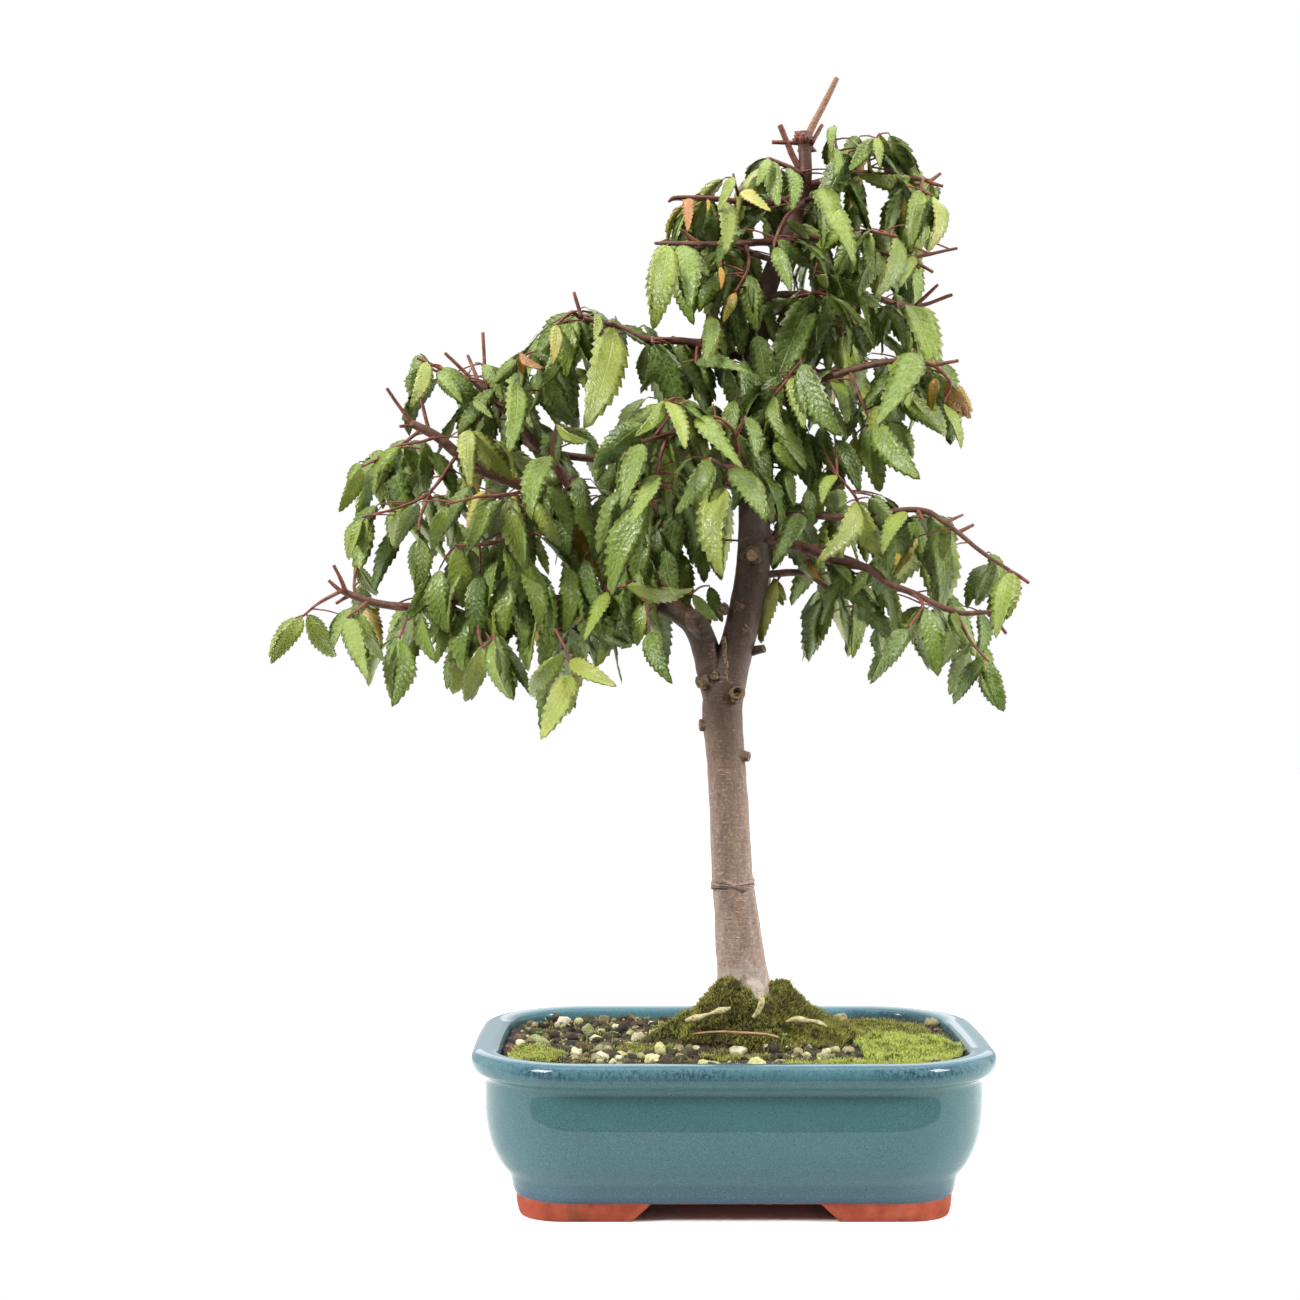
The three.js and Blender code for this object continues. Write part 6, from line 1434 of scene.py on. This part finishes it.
def leafMaterial():
    # A colour by tone, with paler veins, rib and margin, a fine net in relief with painted sheen on it, and
    # quilted relief
    shader = Shader("zelkovaLeaf")
    tone, chance, below = shader.tint()[:3]
    u, v = shader.parts(shader.add("ShaderNodeUVMap", uv_map="blade").outputs["UV"])[:2]
    fromRib = shader.math("ABSOLUTE", shader.times(shader.math("SUBTRACT", v, 0.5), 2.0))
    slant = shader.math("SUBTRACT", u, shader.times(fromRib, 0.17))
    phase = shader.times(slant, 2 * math.pi * 10.4)
    vein = shader.math("COSINE", phase)
    veinLine = shader.spread(vein, 0.88, 1.0)
    ribLine = shader.spread(fromRib, 0.02, 0.06, 1, 0)
    lines = shader.math("MAXIMUM", veinLine, ribLine)
    patchy = shader.noise(90, 3)
    tone = shader.plus(tone, shader.spread(patchy, 0.3, 0.7, -0.05, 0.07))
    green = shader.ramp(tone, [
        (0.0, (0.033, 0.064, 0.008)), (0.15, (0.076, 0.13, 0.012)), (0.35, (0.148, 0.213, 0.019)),
        (0.5, (0.208, 0.262, 0.024)), (0.66, (0.27, 0.3, 0.045)), (0.76, (0.46, 0.43, 0.1)),
        (0.85, (0.75, 0.36, 0.03)),
        (0.95, (0.5, 0.17, 0.05)), (1.0, (0.36, 0.11, 0.04))])
    green = shader.cover(chance, 0, 1, 0.35, green, (0.16, 0.2, 0.03))
    mottle = shader.noise(520, 4, 0.6)
    green = shader.cover(mottle, 0.5, 0.75, 0.35, green, (0.24, 0.3, 0.07))
    green = shader.mix(shader.times(lines, 0.32), green, (0.34, 0.42, 0.14))
    margin = shader.spread(fromRib, 0.88, 1.0, 0, 0.5)
    green = shader.mix(margin, green, (0.5, 0.5, 0.16))
    green = shader.mix(shader.times(below, 0.5), green, (0.3, 0.36, 0.13))
    speck = shader.cells(420)
    green = shader.mix(shader.spread(speck.outputs["Distance"], 0.05, 0.11, 0.35, 0), green,
                       (0.12, 0.06, 0.02))
    quilt = shader.times(shader.math("SUBTRACT", 0, vein), shader.spread(fromRib, 0, 0.25, 0.2, 1))
    height = shader.math("SUBTRACT", shader.times(quilt, 0.22), shader.times(ribLine, 0.7))
    net = shader.cells(780).outputs["Distance"]
    # Painted sheen: the net's cell borders are made paler in patches, standing for the glints of the quilted
    # surface
    patches = shader.spread(shader.noise(260, 3), 0.35, 0.65, 0.05, 0.34)
    netSheen = shader.times(shader.spread(net, 0.3, 0.62), patches)
    green = shader.mix(netSheen, green, (0.31, 0.38, 0.15))
    height = shader.math("SUBTRACT", height, shader.times(net, 1.2))
    height = shader.plus(height, shader.times(shader.noise(1500, 3), 0.5))
    shader.bump(height, 0.6, 0.0003)
    rough = shader.spread(shader.noise(1200, 2), 0.35, 0.65, 0.26, 0.44)
    return shader.finish(green, rough, IOR=1.42)


leafFinish = leafMaterial()


def chosenLean(node, root, leaf, length, lean):
    # The lean that the solid model took for this leaf: the first try whose tip is a corner of the node
    tries = np.array([[leaf[2], root[1] + (lean + more) * length, leaf[3]] for more in leanTries])
    tips = sight(tries) * mm + potMiddle
    away = np.min(np.linalg.norm(tips[:, None] - node[None], axis=2), axis=1)
    best = int(np.argmin(away))
    return leanTries[best] if away[best] < 1.0 * mm else 0


def cadPoints(name):
    # Corners of a solid node, in metres
    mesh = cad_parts[name].data
    points = np.empty(len(mesh.vertices) * 3, np.float32)
    mesh.vertices.foreach_get("co", points)
    return points.reshape(-1, 3)


# Wood of a bough, by kind: sides, steps between points, roughness and how young the bark is, and its radii
boughWood = {
    "line": {"sides": 14, "perPart": 8, "rough": 0.1, "young": 0.4},
    "twig": {"sides": 8, "perPart": 6, "rough": 0.12, "young": 0.9},
    "stub": {"sides": 10, "perPart": 5, "rough": 0.12, "young": 1.0},
    "shoot": {"sides": 5, "perPart": 3, "rough": 0.05, "young": 0.95},
}
boughRadii = {"twig": (0.8, 0.45), "stub": (0.9, 0.75, 0.65), "shoot": (0.5, 0.42, 0.34),
              "thinShoot": (0.42, 0.36, 0.28)}


def tapered(points, radii, kind, seed, cutEnd=""):
    # A tube of one kind of bough wood through the points, with a radius for each
    line = [[*point, radius] for point, radius in zip(points, radii)]
    return woodTube(line, seed=seed, cutEnd=cutEnd, **boughWood[kind])


def growBough(bough, index):
    # Wood tubes, then a blade for each listed leaf, with filling leaves behind them
    facing = bough.get("facing", -1)
    lines = [bough["line"]] + bough["twigs"]
    foot, tip = bough["thick"]
    radii = np.linspace(foot, tip, len(bough["line"]))
    parts = [tapered(bough["line"], radii, "line", 100 + index, "pale")]
    for k, twig in enumerate(bough["twigs"]):
        radii = np.linspace(*boughRadii["twig"], len(twig))
        parts.append(tapered(twig, radii, "twig", 200 + index * 20 + k))
    for k, stub in enumerate(bough["stubs"]):
        middle = [(a + b) / 2 + 0.4 * (draw(index, k, 33) - 0.5) for a, b in zip(stub[0], stub[1])]
        points = [stub[0], middle, stub[1]]
        parts.append(tapered(points, boughRadii["stub"], "stub", 300 + index * 20 + k, "pale"))
    node = cadPoints(bough["name"])
    roots, tips, turns, tones, seeds, swell = [], [], [], [], [], []
    for i, leaf in enumerate(bough["leaves"]):
        root = nearestOnWood(lines, leaf[0], leaf[1])
        length = math.hypot(leaf[2] - root[0], leaf[3] - root[2])
        hand = -1 if draw(index, i, 1) < 0.5 else 1
        lean = (draw(index, i, 2) - 0.5) * 2 * leafShape["lean"] + leafShape["forth"] * facing
        more = chosenLean(node, root, leaf, length, lean)
        roots.append(root)
        tips.append([leaf[2], root[1] + (lean + more) * length, leaf[3]])
        turns.append(hand * leafShape["turnShare"] * leaf[4])
        tones.append(leaf[5])
        seeds.append(index * 100 + i)
        # A leaf that leans to the camera looks short, so it is made narrower by as much
        size = leafShape["size"] + leafShape["sizeSpread"] * (draw(index, i, 5) - 0.5)
        swell.append(size / math.hypot(1, lean + more))
    for i, leaf in enumerate(closing.get(bough["name"], [])):
        roots.append(leaf[:3])
        tips.append(leaf[3:6])
        turns.append(leaf[6])
        tones.append(leaf[7])
        seeds.append(index * 100 + 80 + i)
        swell.append(1.0)
        foot = nearestOnWood(anyWood, leaf[0], leaf[2])
        middle = (foot + np.array(leaf[:3])) / 2 + [0, 0, 1]
        parts.append(tapered([foot, middle, leaf[:3]], boughRadii["shoot"], "shoot", 600 + i))
    listed = {"roots": sight(roots), "tips": sight(tips),
              "away": np.tile([0.0, float(facing), 0.0], (len(roots), 1)),
              "turns": np.array(turns), "tones": np.array(tones), "seeds": np.array(seeds),
              "swell": np.array(swell)}
    blades = [leafBlades(listed, fineBlade)]
    more = fillingLeaves(lines, index, facing)
    if more is not None:
        parts += more["shoots"]
        blades.append(leafBlades(more, plainBlade))
        filled.append(len(more["roots"]))
    makePiece("wood_" + bough["name"], parts, bark, [bough["name"]])
    makePiece("leaves_" + bough["name"], blades, leafFinish, [bough["name"]])
    return len(roots)


# Leaves that close the crown, some orange or brown: root x, depth, z, tip x, depth, z, turn and tone
closing = {
    "mid_right": [[27, 6, 269.4, 16.6, 4, 244, 10, 0.1], [16.6, -11, 295, 27.8, -14, 282.5, 30, 0.3],
     [21.9, -6, 284, 25.3, -8, 269, -20, 0.34], [17, 4, 241.4, 20.9, 3, 230, 20, 0.3],
     [15, 6, 237, 13.1, 6, 216, 62, 0.68], [22, 8, 300, 31, 6, 277, 10, 0.12],
     [26, 5, 305, 22, 3, 280, 15, 0.2], [33, 4, 296, 31, 2, 271, -20, 0.14],
     [18, 5, 305, 17, 3, 279, 40, 0.3], [37, 3, 284, 33, 1, 262, 10, 0.4],
     [41.3, -6, 296.3, 51.1, -9, 275, -15, 0.12], [25.8, -4, 304.2, 33.7, -7, 284.5, 10, 0.28],
     [17.9, -8, 309.4, 29.8, -11, 283.7, -10, 0.34], [14.8, -3, 293.5, 26.2, -4, 281.3, 10, 0.05],
     [32.6, -10, 311.3, 45.6, -13, 295.5, -20, 0.5], [48.4, -2, 296.7, 51.9, -4, 282.9, 15, 0.55],
     [35.3, 2, 301.5, 42.4, 1, 281.7, 0, 0.1], [30.6, 4, 299.1, 32.2, 3, 275.7, 10, 0.08],
     [21.9, 4, 285.7, 20.3, 3, 261.8, 0, 0.07], [30.6, -7, 276.5, 32.2, -9, 260.3, 20, 0.2],
     [28.2, 2, 270.6, 17.9, 0, 252.2, 10, 0.06], [42, 3, 290, 39, 2, 265, 20, 0.16]],
    "shoulder": [[10, -9, 338, 13, -12, 313, 10, 0.2], [5, -9, 328, 6, -12, 302, -25, 0.12],
     [15, -9, 322, 13, -13, 297, 20, 0.34], [14, -9, 306, 6.9, -13, 284, 0, 0.2],
     [-25.4, 8, 275, -14.9, 7, 252, 15, 0.12], [9, -9, 299, 15, -12, 277, -10, 0.14],
     [-27, 9, 260, -19.2, 8, 240, -10, 0.16], [-34, 8, 274, -35, 7, 250, 30, 0.3],
     [-9.7, 6, 255, -3.5, 5, 240, 10, 0.32], [-8.5, 7, 238, -3.2, 6, 223.5, -15, 0.3],
     [-45, 10, 262, -40, 9, 238, 5, 0.14], [-52, 4, 268, -47, 2, 243, -10, 0.2],
     [-63, 4, 262, -60, 2, 238, 20, 0.16], [-20, 7, 269, -24, 6, 241, 5, 0.1],
     [-15, 8, 264, -10.5, 7, 239, -15, 0.14], [-30, 7, 263, -33, 6, 236, 20, 0.18],
     [-21, 9, 252, -17, 8, 229, 0, 0.24], [-10, 8, 270, -15, 7, 246, 10, 0.1],
     [2, -9, 312, -5, -13, 290, 15, 0.3], [-12, 6, 282, -8, 5, 257, 0, 0.16]],
    "upper_left": [[-60, -4, 282, -55, -8, 256, 10, 0.2], [-50, -4, 274, -54, -8, 247, -15, 0.12],
     [-71, -3, 285, -73, -7, 259, 5, 0.25], [-40, -3, 262, -36, -7, 238, -5, 0.1],
     [-66, -4, 272, -64, -7, 246, 25, 0.08], [-46, -2, 256, -49, -5, 233, 0, 0.3],
     [-78, -3, 281, -80, -6, 259, -20, 0.1], [-33, -1, 250, -29, -4, 229, 15, 0.18],
     [-26, -3, 253, -22, -6, 231, 0, 0.12], [-34, -3, 260, -39, -7, 237, 10, 0.24],
     [-43, -2, 266, -45, -6, 241, -15, 0.1]],
    "low_left": [[-124, -17, 231, -117, -21, 208, 35, 0.3], [-106, -18, 246, -111, -22, 219, 45, 0.14],
     [-82, -15, 248, -76, -19, 222, -35, 0.36], [-70, -12, 236, -73, -16, 208, -40, 0.2],
     [-58, -9, 249, -50, -14, 224, 30, 0.1], [-50, -8, 234, -53, -13, 206, -50, 0.26],
     [-41, -8, 245, -46, -13, 219, 40, 0.16], [-119, -18, 243, -129, -21, 224, -30, 0.2],
     [-92, -16, 250, -97, -19, 226, 50, 0.22], [-115, -18, 245, -112, -22, 219, 10, 0.24],
     [-99, -17, 243, -101, -21, 214, -20, 0.1], [-87, -15, 243, -90, -19, 216, 15, 0.3],
     [-76, -13, 244, -70, -17, 218, 10, 0.14], [-64, -11, 246, -66, -15, 219, -15, 0.36],
     [-54, -9, 243, -57, -14, 215, 10, 0.18], [-46, -9, 246, -40, -13, 221, -10, 0.1],
     [-36, -8, 244, -37, -12, 218, 20, 0.28], [-100, -17, 231, -106, -20, 204, 30, 0.2],
     [-88, -14, 239, -81, -18, 213, -40, 0.12], [-76, -12, 232, -80, -16, 204, 35, 0.28],
     [-112, -17, 229, -117, -20, 207, -45, 0.35], [-64, -8, 241, -58, -12, 216, 25, 0.14],
     [-94, -16, 234, -89, -20, 210, 50, 0.4]],
    "crown_left": [[-3.5, -8, 367, -4.6, -9, 355, 10, 0.86], [0.8, -9, 354, -2.8, -10, 342, 20, 0.77],
     [-5.8, -10, 366, -16.1, -13, 345, 20, 0.35], [-7.4, -7, 347, -10.5, -9, 324, -15, 0.5],
     [-18.4, -9, 366, -14.5, -12, 341, 10, 0.3], [8.4, -12, 361, 10.8, -15, 338, 10, 0.3],
     [1.7, -3, 352, 4.5, -5, 329, 10, 0.1]],
    "crown_right": [[39.3, -6, 396, 38.3, -7, 388, 0, 0.86], [47, -9, 380, 50, -11, 362, 15, 0.55]],
    "upper_right": [[81.2, -14, 320.5, 79.5, -16, 307, 20, 0.82],
     [86.3, -12, 320.5, 93.5, -14, 305, 55, 0.97]],
}
airy = {"low_right": 0.3, "low_right_fork": 0.3, "mid_right": 0.55, "back_low_right": 0.35,
        "back_mid_right": 0.5}
growing = boughs + [deepened(back, len(boughs) + k) for k, back in enumerate(backBoughs)]
anyWood = [line for bough in growing for line in [bough["line"]] + bough["twigs"]]
anyWood.append([point[:3] for point in trunkLine[10:]])
plainLeaves = np.array([leaf[:4] for bough in boughs for leaf in bough["leaves"]])
# Places deep in the crown, from x, z to x, z, that no listed leaf covers but where the crown is closed
innerPlaces = np.array([
    [-73, 272, -60, 222], [-50, 292, -38, 262], [-38, 262, -36, 222], [-54, 250, -50, 222],
    [-16, 318, 6, 286],
    [-12, 300, -12, 262],
])
filling = {
    "each": 300, "cell": np.array([11.5, 16.0, 11.5]), "reach": 6.0, "edge": 3.8, "innerReach": 6.0,
    "length": (17, 31), "shoot": (4, 15), "behind": 1.1, "boxGap": 2, "firstShare": 0.3,
    # Kept clear in front of the trunk: half width, height and depth, first below that height, then above it
    "clearTrunk": (13, 270, 12), "clearTop": (9, 352, 7),
}
trunkPath = np.array(trunkLine, float)
taken, filled = set(), []


def inCrown(x, z, reach):
    # Whether a place seen from the front lies within reach of the middle line of one of the listed leaves
    known = np.concatenate([plainLeaves, innerPlaces])
    foot, span = known[:, :2], known[:, 2:4] - known[:, :2]
    place = np.stack([x, z], -1)[:, None]
    share = np.clip(np.sum((place - foot) * span, -1) / np.sum(span ** 2, -1), 0, 1)
    away = np.linalg.norm(place - foot - span * share[..., None], axis=-1)
    away[:, len(plainLeaves):] -= filling["innerReach"]
    return away.min(1) < reach


def fillingLeaves(lines, index, facing):
    # Leaves on short side shoots all along the wood, one to each free cell of space within the crown
    n = np.arange(filling["each"])
    starts = np.concatenate([np.asarray(line[:-1], float)[:, :3] for line in lines])
    ends = np.concatenate([np.asarray(line[1:], float)[:, :3] for line in lines])
    size = np.linalg.norm(ends - starts, axis=1)
    size[0] *= filling["firstShare"]
    pick = np.searchsorted(np.cumsum(size) / size.sum(), draw(index, n, 51) * 0.9999)
    share = draw(index, n, 52)[:, None]
    foot = starts[pick] * (1 - share) + ends[pick] * share
    turn = 6.2832 * draw(index, n, 53)
    out, long = (between(filling[key], draw(index, n, seed)) for key, seed in (("shoot", 54), ("length", 56)))
    inward = -facing * filling["behind"] * np.abs(np.sin(turn))
    step = np.stack([np.cos(turn), inward, 0.7 * draw(index, n, 55) - 0.3], -1)
    root = foot + step * out[:, None]
    hang = np.stack([step[:, 0] * 0.5 + 0.4 * (draw(index, n, 57) - 0.5), step[:, 1] * 0.5,
                     -1.0 + 0.6 * draw(index, n, 58) ** 3], -1)
    tip = root + unit(hang) * long[:, None]
    middle = (root + tip) / 2
    keep = np.ones(len(n), bool)
    for place, reach in ((middle, filling["reach"]), (tip, filling["edge"]), (root, filling["edge"])):
        keep &= inCrown(place[:, 0], place[:, 2], reach)
    aside = np.abs(middle[:, 0] - np.interp(middle[:, 2], trunkPath[:, 2], trunkPath[:, 0]))
    for (half, height, depth), below in ((filling["clearTrunk"], 1), (filling["clearTop"], -1)):
        keep &= ~((aside < half) & ((middle[:, 2] - height) * below < 0) & (middle[:, 1] < depth))
    keep &= draw(index, n, 64) < airy.get(growing[index]["name"], 1.0)
    low, high = (np.array(c) - potMiddle for c in cadBox)
    gap = filling["boxGap"]
    keep &= np.all((sight(tip) > low / mm + gap) & (sight(tip) < high / mm - gap), axis=1)
    chosen = []
    for k in n[keep]:
        cell = tuple(np.floor(middle[k] / filling["cell"]).astype(int))
        if cell not in taken:
            taken.add(cell)
            chosen.append(k)
    if not chosen:
        return None
    k = np.array(chosen)
    shoots = []
    for j in k:
        bend = (foot[j] + root[j]) / 2 + [0, 0, 0.05 * out[j]]
        shoots.append(tapered([foot[j], bend, root[j]], boughRadii["thinShoot"], "shoot", 900 + j))
    tones = 0.02 + 0.36 * draw(index, k, 59) ** 1.3
    tones = np.where(draw(index, k, 60) > 0.92, 0.6 + 0.24 * draw(index, k, 61) ** 1.5, tones)
    tilt = np.stack([step[k, 0] * 0.8, np.where(np.abs(step[k, 1]) > 0.3, step[k, 1], facing),
                     np.full(len(k), 0.35)], -1)
    return {"shoots": shoots, "roots": sight(root[k]), "tips": sight(tip[k]), "away": tilt, "tones": tones,
            "turns": 120 * (draw(index, k, 62) - 0.5), "seeds": 5000 + index * 300 + k,
            "swell": 0.9 + 0.2 * draw(index, k, 63)}


count = 0
for index, bough in enumerate(growing):
    count += growBough(bough, index)
print("leaves made:", count, "and filled in:", sum(filled))
